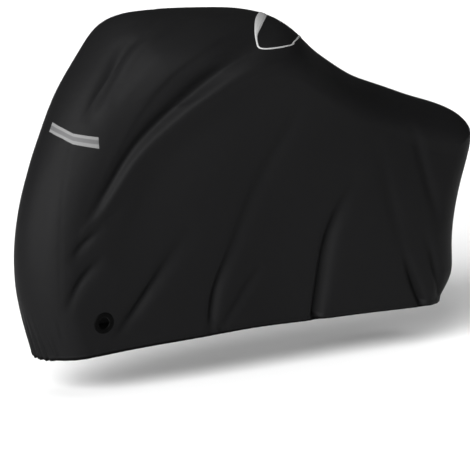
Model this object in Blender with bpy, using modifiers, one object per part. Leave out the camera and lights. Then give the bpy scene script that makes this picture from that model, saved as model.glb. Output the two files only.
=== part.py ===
"""A fitted bike cover, hanging as it does over an upright bicycle that is left out.

Metres, +Z up, the front of the cover towards -X and its left side towards -Y. The origin lies on the
underside of the ridge, where the handlebar stem holds the cover up. Every cloth piece is cut from one
smooth hull: hull() gives the distance of the cloth from the centre plane at a place (x, z) of the side
view. FOLDS then presses the troughs and ridges of the hanging cloth into it.
"""
import math
from collections import namedtuple

import bmesh
import bpy
import numpy as np
from mathutils import Matrix, Vector
from mathutils.geometry import delaunay_2d_cdt

LEFT = -1
RIGHT = 1

# Thicknesses, and the gaps between pieces that are sewn or laid together.
CLOTH_THICKNESS = 0.0016
TAPE_THICKNESS = 0.0010
SEAT_GAP = 0.0004
SEAM_GAP = 0.0004
FRONT_TIP_GAP = 0.0010
WELD = 0.00002

# The hole for the lock's eyelet, as a place of the side view, with the flat cloth round it.
LOCK_CENTRE = (-0.438, -0.994)
LOCK_HOLE = 0.0225
LOCK_FLAT = 0.042
LOCK_BLEND = 0.034
EYELET_BORE = 0.0195
EYELET_OUTER = 0.0365
EYELET_BACK = 0.0325
EYELET_LIP = 0.0030
EYELET_BEVEL = 0.0008
EYELET_GROOVE_GAP = 0.0005
EYELET_STEPS = 32

# The cloth's grid. Its cells are smaller where the cloth turns over the ridge and the tail.
PANEL_COLUMNS = 42
PANEL_ROWS = 24
FRONT_COLUMNS = 6
LOCK_STRIP_COLUMNS = 7
LOCK_STRIP_ROWS = 5
LOCK_STRIP_RAYS = 32
LOCK_STRIP_RINGS = 3
ROW_EASE = 0.22
COLUMN_EASE = 0.22

# How finely the hull is worked out. Folds die away within FOLD_FADE of the centre plane.
PROFILE_SAMPLES = 241
NEAREST_TRIES = 4
NEAREST_DAMPING = 0.9
NEAREST_STEP = 0.02
SLOPE_STEP = 0.002
LOCK_SLOPE_STEP = 0.01
FOLD_STEP = 0.02
LEAST_FOLD_WIDTH = 0.020
FOLD_FADE = 0.06
LEAST_ANGLE = 0.001

Profile = namedtuple("Profile", "x z turn")
Station = namedtuple("Station", "x hem waist shoulder shoulder_z hem_z")
Fold = namedtuple("Fold", "name x z above below depth")

# The outline in the centre plane, from the front hem over the ridge to the rear hem. The turn is how
# deep the cloth takes to come round from the centre plane to the flat of the side.
PROFILE = [
    Profile(-0.597, -1.122, 0.11),
    Profile(-0.650, -0.960, 0.12),
    Profile(-0.675, -0.775, 0.13),
    Profile(-0.646, -0.580, 0.13),
    Profile(-0.574, -0.395, 0.14),
    Profile(-0.499, -0.245, 0.15),
    Profile(-0.408, -0.122, 0.17),
    Profile(-0.298, -0.021, 0.18),
    Profile(-0.155, 0.005, 0.18),
    Profile(0.000, 0.0016, 0.18),
    Profile(0.165, -0.0085, 0.18),
    Profile(0.300, -0.035, 0.18),
    Profile(0.435, -0.130, 0.18),
    Profile(0.550, -0.206, 0.17),
    Profile(0.660, -0.267, 0.16),
    Profile(0.815, -0.325, 0.15),
    Profile(0.965, -0.378, 0.14),
    Profile(1.085, -0.418, 0.13),
    Profile(1.166, -0.478, 0.13),
    Profile(1.169, -0.575, 0.14),
    Profile(1.139, -0.680, 0.16),
    Profile(1.115, -0.790, 0.18),
    Profile(1.107, -0.905, 0.18),
    Profile(1.107, -1.010, 0.17),
    Profile(1.055, -1.102, 0.15),
]

# Half-widths of the cover at the hem, at mid height and at the shoulder, along its length.
STATIONS = [
    Station(-0.70, 0.110, 0.115, 0.110, -0.62, -1.123),
    Station(-0.50, 0.130, 0.150, 0.140, -0.42, -1.112),
    Station(-0.30, 0.150, 0.180, 0.200, -0.32, -1.098),
    Station(-0.05, 0.160, 0.210, 0.290, -0.24, -1.091),
    Station(0.17, 0.160, 0.220, 0.330, -0.20, -1.086),
    Station(0.40, 0.160, 0.220, 0.285, -0.32, -1.091),
    Station(0.65, 0.165, 0.215, 0.225, -0.44, -1.095),
    Station(0.90, 0.170, 0.200, 0.195, -0.54, -1.101),
    Station(1.25, 0.150, 0.175, 0.180, -0.62, -1.104),
]

# The seam at each front corner, in the side view: it starts at the hem, at SEAM_FOOT_X, and ends on the
# outline where that is nearest to SEAM_HEAD. The side's other corner on the outline is nearest to TAIL.
SEAM_FOOT_X = -0.572
SEAM_HEAD = (-0.130, 0.003)
TAIL = (1.155, -0.465)
CORNER_SEAM = [
    (-0.594, -0.834),
    (-0.576, -0.571),
    (-0.520, -0.381),
    (-0.450, -0.255),
    (-0.368, -0.145),
    (-0.275, -0.052),
]

# The main folds, left and right: rows of one name follow a fold's line from its top to its foot, with
# its widths on its upper flank and on the other one. A negative depth stands out as a ridge.
FOLDS = {
    "left": [
        Fold("nose hollow", -0.10, 0.00, 0.014, 0.016, 0.003),
        Fold("nose hollow", -0.26, -0.04, 0.016, 0.018, 0.007),
        Fold("nose hollow", -0.33, -0.09, 0.018, 0.020, 0.010),
        Fold("nose hollow", -0.38, -0.16, 0.020, 0.022, 0.011),
        Fold("nose hollow", -0.42, -0.22, 0.020, 0.022, 0.010),
        Fold("nose hollow", -0.46, -0.28, 0.018, 0.022, 0.006),
        Fold("nose hollow", -0.485, -0.34, 0.016, 0.020, 0.000),
        Fold("brow hollow", -0.05, -0.01, 0.018, 0.022, 0.002),
        Fold("brow hollow", -0.18, -0.05, 0.018, 0.024, 0.006),
        Fold("brow hollow", -0.28, -0.10, 0.018, 0.024, 0.007),
        Fold("brow hollow", -0.34, -0.17, 0.016, 0.022, 0.006),
        Fold("brow hollow", -0.38, -0.22, 0.014, 0.018, 0.004),
        Fold("brow hollow", -0.41, -0.28, 0.014, 0.018, 0.000),
        Fold("long edge", 0.185, -0.035, 0.030, 0.010, -0.001),
        Fold("long edge", 0.005, -0.060, 0.030, 0.010, -0.003),
        Fold("long edge", -0.105, -0.100, 0.030, 0.010, -0.004),
        Fold("long edge", -0.205, -0.160, 0.030, 0.010, -0.004),
        Fold("long edge", -0.275, -0.230, 0.030, 0.010, -0.004),
        Fold("long edge", -0.335, -0.310, 0.028, 0.010, -0.003),
        Fold("long edge", -0.405, -0.430, 0.024, 0.010, -0.002),
        Fold("long edge", -0.485, -0.570, 0.020, 0.010, 0.000),
        Fold("long hollow", 0.170, -0.070, 0.030, 0.022, 0.002),
        Fold("long hollow", 0.010, -0.135, 0.045, 0.022, 0.012),
        Fold("long hollow", -0.080, -0.195, 0.045, 0.022, 0.016),
        Fold("long hollow", -0.160, -0.255, 0.042, 0.022, 0.017),
        Fold("long hollow", -0.230, -0.315, 0.036, 0.020, 0.016),
        Fold("long hollow", -0.290, -0.370, 0.030, 0.018, 0.014),
        Fold("long hollow", -0.350, -0.435, 0.026, 0.016, 0.012),
        Fold("long hollow", -0.390, -0.495, 0.024, 0.015, 0.011),
        Fold("long hollow", -0.430, -0.555, 0.022, 0.014, 0.010),
        Fold("long hollow", -0.470, -0.615, 0.020, 0.014, 0.007),
        Fold("long hollow", -0.510, -0.685, 0.018, 0.014, 0.000),
        Fold("handlebar ridge", 0.255, -0.120, 0.022, 0.045, 0.000),
        Fold("handlebar ridge", 0.195, -0.138, 0.020, 0.050, -0.003),
        Fold("handlebar ridge", 0.065, -0.165, 0.018, 0.055, -0.007),
        Fold("handlebar ridge", -0.095, -0.245, 0.016, 0.055, -0.009),
        Fold("handlebar ridge", -0.235, -0.355, 0.015, 0.045, -0.008),
        Fold("handlebar ridge", -0.375, -0.505, 0.014, 0.035, -0.007),
        Fold("handlebar ridge", -0.435, -0.595, 0.014, 0.030, -0.007),
        Fold("handlebar ridge", -0.505, -0.670, 0.012, 0.025, -0.005),
        Fold("handlebar ridge", -0.535, -0.705, 0.012, 0.020, 0.000),
        Fold("belly", 0.25, -0.25, 0.060, 0.100, 0.000),
        Fold("belly", 0.10, -0.28, 0.070, 0.120, 0.008),
        Fold("belly", -0.05, -0.36, 0.070, 0.130, 0.012),
        Fold("belly", -0.18, -0.46, 0.070, 0.130, 0.012),
        Fold("belly", -0.28, -0.58, 0.060, 0.110, 0.009),
        Fold("belly", -0.36, -0.72, 0.050, 0.080, 0.004),
        Fold("belly", -0.42, -0.80, 0.050, 0.060, 0.000),
        Fold("upper shin", -0.44, -0.665, 0.014, 0.018, 0.000),
        Fold("upper shin", -0.49, -0.70, 0.015, 0.020, 0.007),
        Fold("upper shin", -0.53, -0.735, 0.015, 0.020, 0.008),
        Fold("upper shin", -0.57, -0.785, 0.013, 0.018, 0.000),
        Fold("lower shin", -0.44, -0.765, 0.016, 0.022, 0.000),
        Fold("lower shin", -0.49, -0.81, 0.018, 0.026, 0.008),
        Fold("lower shin", -0.53, -0.855, 0.018, 0.026, 0.009),
        Fold("lower shin", -0.56, -0.91, 0.016, 0.022, 0.006),
        Fold("lower shin", -0.575, -0.96, 0.014, 0.018, 0.000),
        Fold("lock hollow", -0.10, -0.69, 0.030, 0.040, 0.000),
        Fold("lock hollow", -0.18, -0.78, 0.026, 0.034, 0.007),
        Fold("lock hollow", -0.25, -0.88, 0.022, 0.030, 0.012),
        Fold("lock hollow", -0.31, -0.955, 0.020, 0.026, 0.012),
        Fold("lock hollow", -0.36, -1.01, 0.018, 0.024, 0.007),
        Fold("lock hollow", -0.41, -1.06, 0.016, 0.020, 0.001),
        Fold("middle drop", 0.27, -0.27, 0.020, 0.030, 0.000),
        Fold("middle drop", 0.23, -0.38, 0.025, 0.035, 0.006),
        Fold("middle drop", 0.18, -0.47, 0.025, 0.035, 0.008),
        Fold("middle drop", 0.13, -0.57, 0.025, 0.040, 0.009),
        Fold("middle drop", 0.09, -0.68, 0.024, 0.036, 0.010),
        Fold("middle drop", 0.03, -0.85, 0.020, 0.030, 0.012),
        Fold("middle drop", 0.00, -0.93, 0.018, 0.026, 0.014),
        Fold("middle drop", -0.01, -1.00, 0.018, 0.022, 0.012),
        Fold("middle drop", -0.015, -1.07, 0.018, 0.020, 0.005),
        Fold("short drop", 0.19, -0.86, 0.018, 0.020, 0.000),
        Fold("short drop", 0.14, -0.92, 0.018, 0.024, 0.007),
        Fold("short drop", 0.08, -1.00, 0.016, 0.022, 0.008),
        Fold("short drop", 0.03, -1.07, 0.016, 0.020, 0.004),
        Fold("rear drop", 0.57, -0.57, 0.030, 0.035, 0.000),
        Fold("rear drop", 0.52, -0.64, 0.030, 0.035, 0.007),
        Fold("rear drop", 0.475, -0.72, 0.028, 0.036, 0.014),
        Fold("rear drop", 0.45, -0.80, 0.026, 0.036, 0.018),
        Fold("rear drop", 0.44, -0.90, 0.024, 0.034, 0.021),
        Fold("rear drop", 0.435, -0.98, 0.022, 0.032, 0.022),
        Fold("rear drop", 0.43, -1.07, 0.022, 0.030, 0.020),
        Fold("tail sag", 0.81, -0.43, 0.024, 0.030, 0.000),
        Fold("tail sag", 0.84, -0.50, 0.024, 0.030, 0.008),
        Fold("tail sag", 0.87, -0.59, 0.024, 0.030, 0.010),
        Fold("tail sag", 0.90, -0.68, 0.024, 0.028, 0.010),
        Fold("tail sag", 0.93, -0.76, 0.022, 0.026, 0.007),
        Fold("tail sag", 0.945, -0.84, 0.020, 0.022, 0.000),
        Fold("saddle sag", 0.64, -0.46, 0.030, 0.030, 0.000),
        Fold("saddle sag", 0.67, -0.56, 0.030, 0.030, 0.006),
        Fold("saddle sag", 0.70, -0.66, 0.028, 0.030, 0.007),
        Fold("saddle sag", 0.74, -0.77, 0.026, 0.028, 0.006),
        Fold("saddle sag", 0.77, -0.86, 0.024, 0.024, 0.000),
        Fold("rear hem, first", 0.76, -0.83, 0.022, 0.022, 0.000),
        Fold("rear hem, first", 0.80, -0.92, 0.022, 0.024, 0.008),
        Fold("rear hem, first", 0.85, -1.01, 0.020, 0.022, 0.013),
        Fold("rear hem, first", 0.89, -1.08, 0.020, 0.022, 0.013),
        Fold("rear hem, second", 0.87, -0.82, 0.018, 0.018, 0.000),
        Fold("rear hem, second", 0.915, -0.91, 0.018, 0.020, 0.008),
        Fold("rear hem, second", 0.95, -0.99, 0.018, 0.020, 0.009),
        Fold("rear hem, second", 0.98, -1.06, 0.018, 0.018, 0.007),
    ],
    "right": [
        Fold("nose hollow", -0.09, -0.01, 0.016, 0.020, 0.002),
        Fold("nose hollow", -0.27, -0.06, 0.018, 0.022, 0.008),
        Fold("nose hollow", -0.38, -0.17, 0.022, 0.026, 0.011),
        Fold("nose hollow", -0.44, -0.27, 0.020, 0.024, 0.008),
        Fold("nose hollow", -0.48, -0.36, 0.018, 0.020, 0.000),
        Fold("long hollow", 0.13, -0.05, 0.030, 0.022, 0.002),
        Fold("long hollow", -0.05, -0.14, 0.045, 0.024, 0.013),
        Fold("long hollow", -0.20, -0.25, 0.040, 0.022, 0.016),
        Fold("long hollow", -0.33, -0.37, 0.030, 0.020, 0.014),
        Fold("long hollow", -0.44, -0.53, 0.024, 0.018, 0.010),
        Fold("long hollow", -0.53, -0.70, 0.018, 0.016, 0.000),
        Fold("handlebar ridge", 0.22, -0.12, 0.018, 0.050, -0.003),
        Fold("handlebar ridge", 0.02, -0.18, 0.018, 0.055, -0.008),
        Fold("handlebar ridge", -0.16, -0.29, 0.018, 0.050, -0.008),
        Fold("handlebar ridge", -0.34, -0.45, 0.018, 0.040, -0.007),
        Fold("handlebar ridge", -0.52, -0.70, 0.016, 0.024, 0.000),
        Fold("belly", 0.22, -0.26, 0.060, 0.100, 0.000),
        Fold("belly", 0.00, -0.36, 0.070, 0.130, 0.011),
        Fold("belly", -0.20, -0.52, 0.070, 0.120, 0.011),
        Fold("belly", -0.38, -0.78, 0.050, 0.070, 0.000),
        Fold("lock hollow", -0.12, -0.66, 0.030, 0.038, 0.000),
        Fold("lock hollow", -0.22, -0.82, 0.026, 0.034, 0.010),
        Fold("lock hollow", -0.32, -0.95, 0.022, 0.028, 0.011),
        Fold("lock hollow", -0.39, -1.04, 0.018, 0.022, 0.003),
        Fold("middle drop", 0.24, -0.32, 0.024, 0.034, 0.000),
        Fold("middle drop", 0.16, -0.52, 0.028, 0.040, 0.009),
        Fold("middle drop", 0.08, -0.75, 0.026, 0.036, 0.012),
        Fold("middle drop", 0.04, -0.93, 0.022, 0.030, 0.014),
        Fold("middle drop", 0.03, -1.06, 0.020, 0.024, 0.009),
        Fold("rear drop", 0.52, -0.54, 0.030, 0.036, 0.000),
        Fold("rear drop", 0.45, -0.70, 0.030, 0.036, 0.012),
        Fold("rear drop", 0.41, -0.87, 0.026, 0.034, 0.018),
        Fold("rear drop", 0.40, -1.06, 0.024, 0.030, 0.019),
        Fold("tail sag", 0.79, -0.45, 0.026, 0.030, 0.000),
        Fold("tail sag", 0.85, -0.60, 0.026, 0.030, 0.010),
        Fold("tail sag", 0.91, -0.77, 0.024, 0.026, 0.008),
        Fold("tail sag", 0.94, -0.87, 0.020, 0.022, 0.000),
        Fold("rear hem", 0.80, -0.84, 0.022, 0.024, 0.000),
        Fold("rear hem", 0.88, -0.95, 0.022, 0.024, 0.010),
        Fold("rear hem", 0.95, -1.05, 0.020, 0.020, 0.012),
    ],
}

# The flap behind the handlebar, one row for each rib across it: how many degrees round from the ridge
# the rib lies, and the x of the flap's front edge, of the cloth inside its edging, and of its rear edge.
Rib = namedtuple("Rib", "degrees front cloth_front cloth_rear rear")
FLAP_RIBS = [
    Rib(0, 0.292, 0.330, 0.450, 0.458),
    Rib(12, 0.250, 0.287, 0.437, 0.445),
    Rib(24, 0.184, 0.226, 0.401, 0.409),
    Rib(36, 0.124, 0.151, 0.331, 0.340),
    Rib(43, 0.100, 0.109, 0.284, 0.293),
    Rib(48, 0.091, 0.098, 0.239, 0.248),
]
FLAP_TIP_DEGREES = (51.8, 50.9)
FLAP_TIP_LEAN = -0.027
FLAP_TIP_RADIUS = 0.4
FLAP_AXIS_Z = -0.35
FLAP_EDGE_STEPS = 8
FLAP_TIP_STEPS = 8
FLAP_GRID_ROWS = 11
FLAP_GRID_COLUMNS = (2, 26)
CHART_PRECISION = 0.0000001

# A corner strip along its middle line: degrees round from the nose, z of the middle, and its height.
NOSE_AXIS_X = -0.43
Place = namedtuple("Place", "degrees z height")
STRIP_LINE = [
    Place(0, -0.345, 0.030),
    Place(10, -0.3485, 0.030),
    Place(30, -0.362, 0.0315),
    Place(47, -0.3785, 0.034),
    Place(60, -0.3835, 0.035),
    Place(70, -0.3873, 0.036),
    Place(81, -0.3915, 0.037),
    Place(118, -0.400, 0.037),
]
STRIP_DEGREES = {"left": (6.0, 81.0), "right": (44.0, 118.0)}
STRIP_STEPS = 10
STRIP_GRID_ROWS = (6, 14)
STRIP_GRID_COLUMNS = 8


class Curve:
    """A natural cubic spline through rows of numbers, along its chord length or its first column."""

    def __init__(self, rows, along_chords):
        rows = np.array(rows, float)
        if along_chords:
            chords = np.linalg.norm(np.diff(rows[:, :2], axis=0), axis=1)
            self.knots = np.concatenate([[0.0], np.cumsum(chords)])
            self.values = rows
        else:
            self.knots = rows[:, 0]
            self.values = rows[:, 1:]
        self.length = self.knots[-1]
        count = len(self.knots)
        step = np.diff(self.knots)
        slope = np.diff(self.values, axis=0) / step[:, None]
        system = np.eye(count)
        bend = np.zeros((count, self.values.shape[1]))
        for i in range(1, count - 1):
            system[i, i - 1:i + 2] = (step[i - 1], 2 * (step[i - 1] + step[i]), step[i])
            bend[i] = 6 * (slope[i] - slope[i - 1])
        self.bends = np.linalg.solve(system, bend)

    def _span(self, place):
        place = np.clip(np.asarray(place, float), self.knots[0], self.knots[-1])
        index = np.clip(np.searchsorted(self.knots, place, side="right") - 1, 0, len(self.knots) - 2)
        width = self.knots[index + 1] - self.knots[index]
        part = (place - self.knots[index]) / width
        return index, width[..., None], part[..., None]

    def at(self, place):
        i, width, b = self._span(place)
        a = 1 - b
        straight = a * self.values[i] + b * self.values[i + 1]
        return straight + width**2 / 6 * ((a**3 - a) * self.bends[i] + (b**3 - b) * self.bends[i + 1])

    def slope(self, place):
        i, width, b = self._span(place)
        a = 1 - b
        straight = (self.values[i + 1] - self.values[i]) / width
        return straight + width / 6 * ((1 - 3 * a**2) * self.bends[i] + (3 * b**2 - 1) * self.bends[i + 1])


OUTLINE = Curve(PROFILE, True)
WIDTHS = Curve(STATIONS, False)
OUTLINE_PLACES = np.linspace(0, OUTLINE.length, PROFILE_SAMPLES)
OUTLINE_POINTS = OUTLINE.at(OUTLINE_PLACES)[:, :2]


def smooth(share):
    """A soft step from 0 to 1."""
    share = np.clip(share, 0, 1)
    return share * share * (3 - 2 * share)


def hem_z(x):
    return WIDTHS.at(x)[..., 4]


def nearest_place(x, z):
    """The place along the outline that is nearest to each (x, z)."""
    points = np.stack([np.ravel(x), np.ravel(z)], -1)
    gaps = ((points[:, None, :] - OUTLINE_POINTS[None, :, :])**2).sum(-1)
    place = OUTLINE_PLACES[gaps.argmin(1)]
    for _ in range(NEAREST_TRIES):
        run = OUTLINE.slope(place)[:, :2]
        error = ((OUTLINE.at(place)[:, :2] - points) * run).sum(1) / (run * run).sum(1)
        move = NEAREST_DAMPING * np.clip(error, -NEAREST_STEP, NEAREST_STEP)
        place = np.clip(place - move, 0, OUTLINE.length)
    return place.reshape(np.shape(x))


def side_width(x, z):
    """The half-width of the cover's flat side, before it turns in to the outline."""
    hem, waist, shoulder, shoulder_z, low = np.moveaxis(WIDTHS.at(x), -1, 0)
    rise = np.clip((z - low) / (shoulder_z - low), 0, 1)
    bow = 2 * hem - 4 * waist + 2 * shoulder
    lean = 4 * waist - 3 * hem - shoulder
    return bow * rise**2 + lean * rise + hem


def hull(x, z):
    """Half-width of the bare hull and its outward direction at (x, z)."""
    x = np.asarray(x, float)
    z = np.asarray(z, float)
    place = nearest_place(x, z)
    foot = OUTLINE.at(place)
    run = OUTLINE.slope(place)
    run = run[..., :2] / np.linalg.norm(run[..., :2], axis=-1, keepdims=True)
    depth = np.hypot(x - foot[..., 0], z - foot[..., 1])
    turn = foot[..., 2]
    lean = np.clip(1 - depth / turn, 0, 1)
    width = side_width(x, z)
    reach = np.sqrt(np.clip(1 - lean**2, 0, 1))
    step = SLOPE_STEP
    slope_x = (side_width(x + step, z) - side_width(x - step, z)) / (2 * step)
    slope_z = (side_width(x, z + step) - side_width(x, z - step)) / (2 * step)
    normal_x = -reach**2 * slope_x / width - lean * run[..., 1] / turn
    normal_z = -reach**2 * slope_z / width + lean * run[..., 0] / turn
    normal = np.stack([normal_x, np.maximum(reach, 1e-6) / width, normal_z], -1)
    return width * reach, normal / np.linalg.norm(normal, axis=-1, keepdims=True)


def lock_plane():
    """Half-width of the hull at the lock hole, and its two slopes."""
    x, z = LOCK_CENTRE
    step = LOCK_SLOPE_STEP
    middle, ahead, above = (float(hull(x + dx, z + dz)[0]) for dx, dz in ((0, 0), (step, 0), (0, step)))
    return middle, (ahead - middle) / step, (above - middle) / step


LOCK_WIDTH, LOCK_SLOPE_X, LOCK_SLOPE_Z = lock_plane()
HEAD_PLACE = float(nearest_place(*SEAM_HEAD))
TAIL_PLACE = float(nearest_place(*TAIL))
SEAM_FOOT = (SEAM_FOOT_X, float(hem_z(SEAM_FOOT_X)))
SEAM = Curve([SEAM_FOOT, *CORNER_SEAM, tuple(OUTLINE.at(HEAD_PLACE)[:2])], True)


def fold_lines(rows):
    """Each fold as a curve of x, z, widths and depth, and whether it runs towards the front."""
    lines = []
    for name in dict.fromkeys(row.name for row in rows):
        places = [tuple(row[1:]) for row in rows if row.name == name]
        lines.append((Curve(places, True), places[-1][0] < places[0][0]))
    return lines


def fold_depth(x, z, lines):
    """How far folds press the cloth in at (x, z)."""
    total = np.zeros(np.shape(x))
    for curve, frontward in lines:
        steps = max(int(curve.length / FOLD_STEP), 3)
        line = curve.at(np.linspace(0, curve.length, steps + 1))
        best = np.full(np.shape(x), np.inf)
        across = np.zeros(np.shape(x))
        above = np.zeros(np.shape(x))
        below = np.zeros(np.shape(x))
        depth = np.zeros(np.shape(x))
        for a, b in zip(line[:-1], line[1:]):
            run = b[:2] - a[:2]
            part = np.clip(((x - a[0]) * run[0] + (z - a[1]) * run[1]) / (run @ run), 0, 1)
            off_x = x - a[0] - part * run[0]
            off_z = z - a[1] - part * run[1]
            gap = np.hypot(off_x, off_z)
            sign = (run[0] * off_z - run[1] * off_x) / (np.linalg.norm(run) * np.maximum(gap, 1e-9))
            closer = gap < best
            across = np.where(closer, sign, across)
            above = np.where(closer, a[2] + part * (b[2] - a[2]), above)
            below = np.where(closer, a[3] + part * (b[3] - a[3]), below)
            depth = np.where(closer, a[4] + part * (b[4] - a[4]), depth)
            best = np.where(closer, gap, best)
        # The upper flank is on the right hand of a line that runs towards the front.
        flank = -across if frontward else across
        width = below + (above - below) * (0.5 + 0.5 * flank)
        total += depth * np.exp(-(best / np.maximum(width, LEAST_FOLD_WIDTH))**2)
    return total


FOLD_LINES = {side: fold_lines(rows) for side, rows in FOLDS.items()}


def cloth(x, z, side, lift=0.0):
    """Points of the cover's outer face at (x, z) of the side view, raised by lift along the face."""
    x = np.asarray(x, float)
    z = np.asarray(z, float)
    half, normal = hull(x, z)
    from_lock = np.hypot(x - LOCK_CENTRE[0], z - LOCK_CENTRE[1])
    keep = smooth((from_lock - LOCK_FLAT) / LOCK_BLEND)
    flat = LOCK_WIDTH + LOCK_SLOPE_X * (x - LOCK_CENTRE[0]) + LOCK_SLOPE_Z * (z - LOCK_CENTRE[1])
    half = flat + (half - flat) * keep
    facing = np.array((-LOCK_SLOPE_X, 1.0, -LOCK_SLOPE_Z))
    facing /= np.linalg.norm(facing)
    normal = facing + (normal - facing) * keep[..., None]
    lines = FOLD_LINES["left" if side == LEFT else "right"]
    press = fold_depth(x, z, lines) * keep * smooth(half / FOLD_FADE)
    rise = np.asarray(lift) - press
    points = np.stack([x, half, z], -1) + normal * rise[..., None]
    points[..., 1] *= side
    return points


def easing(share, ease):
    """A share of 0 to 1 that starts slowly, the more so with a small ease."""
    return (np.sqrt(share**2 + ease**2) - ease) / (math.sqrt(1 + ease**2) - ease)


def panel_place(u, v):
    """(x, z) of a side panel's place: u from the corner seam to the tail, v from the ridge to the hem."""
    u = 1 - easing(1 - np.asarray(u, float), COLUMN_EASE)
    v = easing(np.asarray(v, float), ROW_EASE)
    top = OUTLINE.at(HEAD_PLACE + u * (TAIL_PLACE - HEAD_PLACE))[..., :2]
    rear = OUTLINE.at(TAIL_PLACE + v * (OUTLINE.length - TAIL_PLACE))[..., :2]
    front = SEAM.at(SEAM.length * (1 - v))
    hem_x = SEAM_FOOT_X + u * (PROFILE[-1].x - SEAM_FOOT_X)
    hem = np.stack([hem_x, hem_z(hem_x)], -1)
    hem_end = np.array((PROFILE[-1].x, float(hem_z(PROFILE[-1].x))))
    u = u[..., None]
    v = v[..., None]
    rear = rear + v * (hem_end - OUTLINE.at(OUTLINE.length)[:2])
    corners = (1 - u) * (1 - v) * SEAM.at(SEAM.length) + u * (1 - v) * OUTLINE.at(TAIL_PLACE)[:2]
    corners = corners + (1 - u) * v * np.array(SEAM_FOOT) + u * v * hem_end
    return (1 - u) * front + u * rear + (1 - v) * top + v * hem - corners


def new_object(name, points, faces, material):
    mesh = bpy.data.meshes.new(name)
    mesh.from_pydata([tuple(point) for point in points], [], faces)
    mesh.materials.append(material)
    mesh.shade_smooth()
    thing = bpy.data.objects.new(name, mesh)
    PARTS.objects.link(thing)
    return thing


def cloth_piece(name, outer, inner, faces, material):
    """A closed sheet between its outer and inner points, walled along every open edge of its faces."""
    used = sorted({index for face in faces for index in face})
    place = {old: new for new, old in enumerate(used)}
    faces = [tuple(place[index] for index in face) for face in faces]
    edges = {(a, b) for face in faces for a, b in zip(face, face[1:] + face[:1])}
    rim = [(a, b) for a, b in edges if (b, a) not in edges]
    count = len(used)
    back = [tuple(index + count for index in face[::-1]) for face in faces]
    walls = [(b, a, a + count, b + count) for a, b in rim]
    points = np.concatenate([outer.reshape(-1, 3)[used], inner.reshape(-1, 3)[used]])
    return new_object(name, points, faces + back + walls, material)


def grid_faces(rows, columns, outward, skip=None):
    """Triangles of a grid of rows by columns of points, leaving out the cells that skip names."""
    faces = []
    for row in range(rows - 1):
        for column in range(columns - 1):
            if skip and skip(row, column):
                continue
            a = row * columns + column
            b = a + columns
            pair = ((a, a + 1, b + 1), (a, b + 1, b))
            faces += pair if outward else [face[::-1] for face in pair]
    return faces


def direction(vectors):
    return vectors / np.linalg.norm(vectors, axis=-1, keepdims=True)


def seam_shift(edge, inside):
    """The half seam gap that draws an edge's points in, square to the edge."""
    run = direction(np.gradient(edge, axis=0))
    inward = inside - edge
    inward = inward - run * (inward * run).sum(-1, keepdims=True)
    return SEAM_GAP / 2 * direction(inward)


def side_grid(side, lift=0.0):
    """Points of one side, in rows from ridge to hem and columns from corner seam to tail."""
    u, v = np.meshgrid(np.linspace(0, 1, PANEL_COLUMNS + 1), np.linspace(0, 1, PANEL_ROWS + 1))
    place = panel_place(u, v)
    points = cloth(place[..., 0], place[..., 1], side, lift)
    points[0, :, 1] = 0.0
    points[:, -1, 1] = 0.0
    return points


def front_grid(lift=0.0):
    """Points of the front in the same rows, in columns from the left corner seam to the right one."""
    share = 1 - easing(np.linspace(0, 1, PANEL_ROWS + 1), ROW_EASE)
    middle = OUTLINE.at(share * HEAD_PLACE)
    seam = SEAM.at(share * SEAM.length)
    angle = np.arccos(np.clip(1 - np.linalg.norm(seam - middle[:, :2], axis=1) / middle[:, 2], 0, 1))
    angle = np.maximum(angle, LEAST_ANGLE)
    columns = []
    for column in range(-FRONT_COLUMNS, FRONT_COLUMNS + 1):
        part = (1 - np.cos(abs(column) / FRONT_COLUMNS * angle)) / (1 - np.cos(angle))
        place = middle[:, :2] + (seam - middle[:, :2]) * part[:, None]
        columns.append(cloth(place[:, 0], place[:, 1], LEFT if column <= 0 else RIGHT, lift))
    points = np.stack(columns, 1)
    points[:, FRONT_COLUMNS, 1] = 0.0
    return points


def side_panel(name, side, material):
    """One large side, from the ridge and tail seam to the hem, less the corner that holds the eyelet."""
    points = side_grid(side)
    shift = np.zeros_like(points)
    top = PANEL_ROWS - LOCK_STRIP_ROWS
    last = LOCK_STRIP_COLUMNS
    shift[:top + 1, 0] += seam_shift(points[:top + 1, 0], points[:top + 1, 1])
    shift[top, :last + 1] += seam_shift(points[top, :last + 1], points[top - 1, :last + 1])
    shift[top:, last] += seam_shift(points[top:, last], points[top:, last + 1])
    shift[0, :, 1] = side * SEAM_GAP / 2
    shift[:, -1, 1] = side * SEAM_GAP / 2
    faces = grid_faces(PANEL_ROWS + 1, PANEL_COLUMNS + 1, side == RIGHT,
                       lambda row, column: row >= top and column < last)
    inner = side_grid(side, -CLOTH_THICKNESS)
    return cloth_piece(name, points + shift, inner + shift, faces, material)


def front_panel(material):
    """The pointed front, from the left corner seam round the nose to the right one."""
    points = front_grid()
    shift = np.zeros_like(points)
    shift[1:, 0] = seam_shift(points[1:, 0], points[1:, 1])
    shift[1:, -1] = seam_shift(points[1:, -1], points[1:, -2])
    shift[0, :] = (-FRONT_TIP_GAP, 0.0, 0.0)
    width = 2 * FRONT_COLUMNS + 1
    faces = [(FRONT_COLUMNS, width + column + 1, width + column) for column in range(width - 1)]
    faces += grid_faces(PANEL_ROWS + 1, width, True, lambda row, column: row == 0)
    inner = front_grid(-CLOTH_THICKNESS)
    return cloth_piece("front_panel", points + shift, inner + shift, faces, material)


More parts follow.
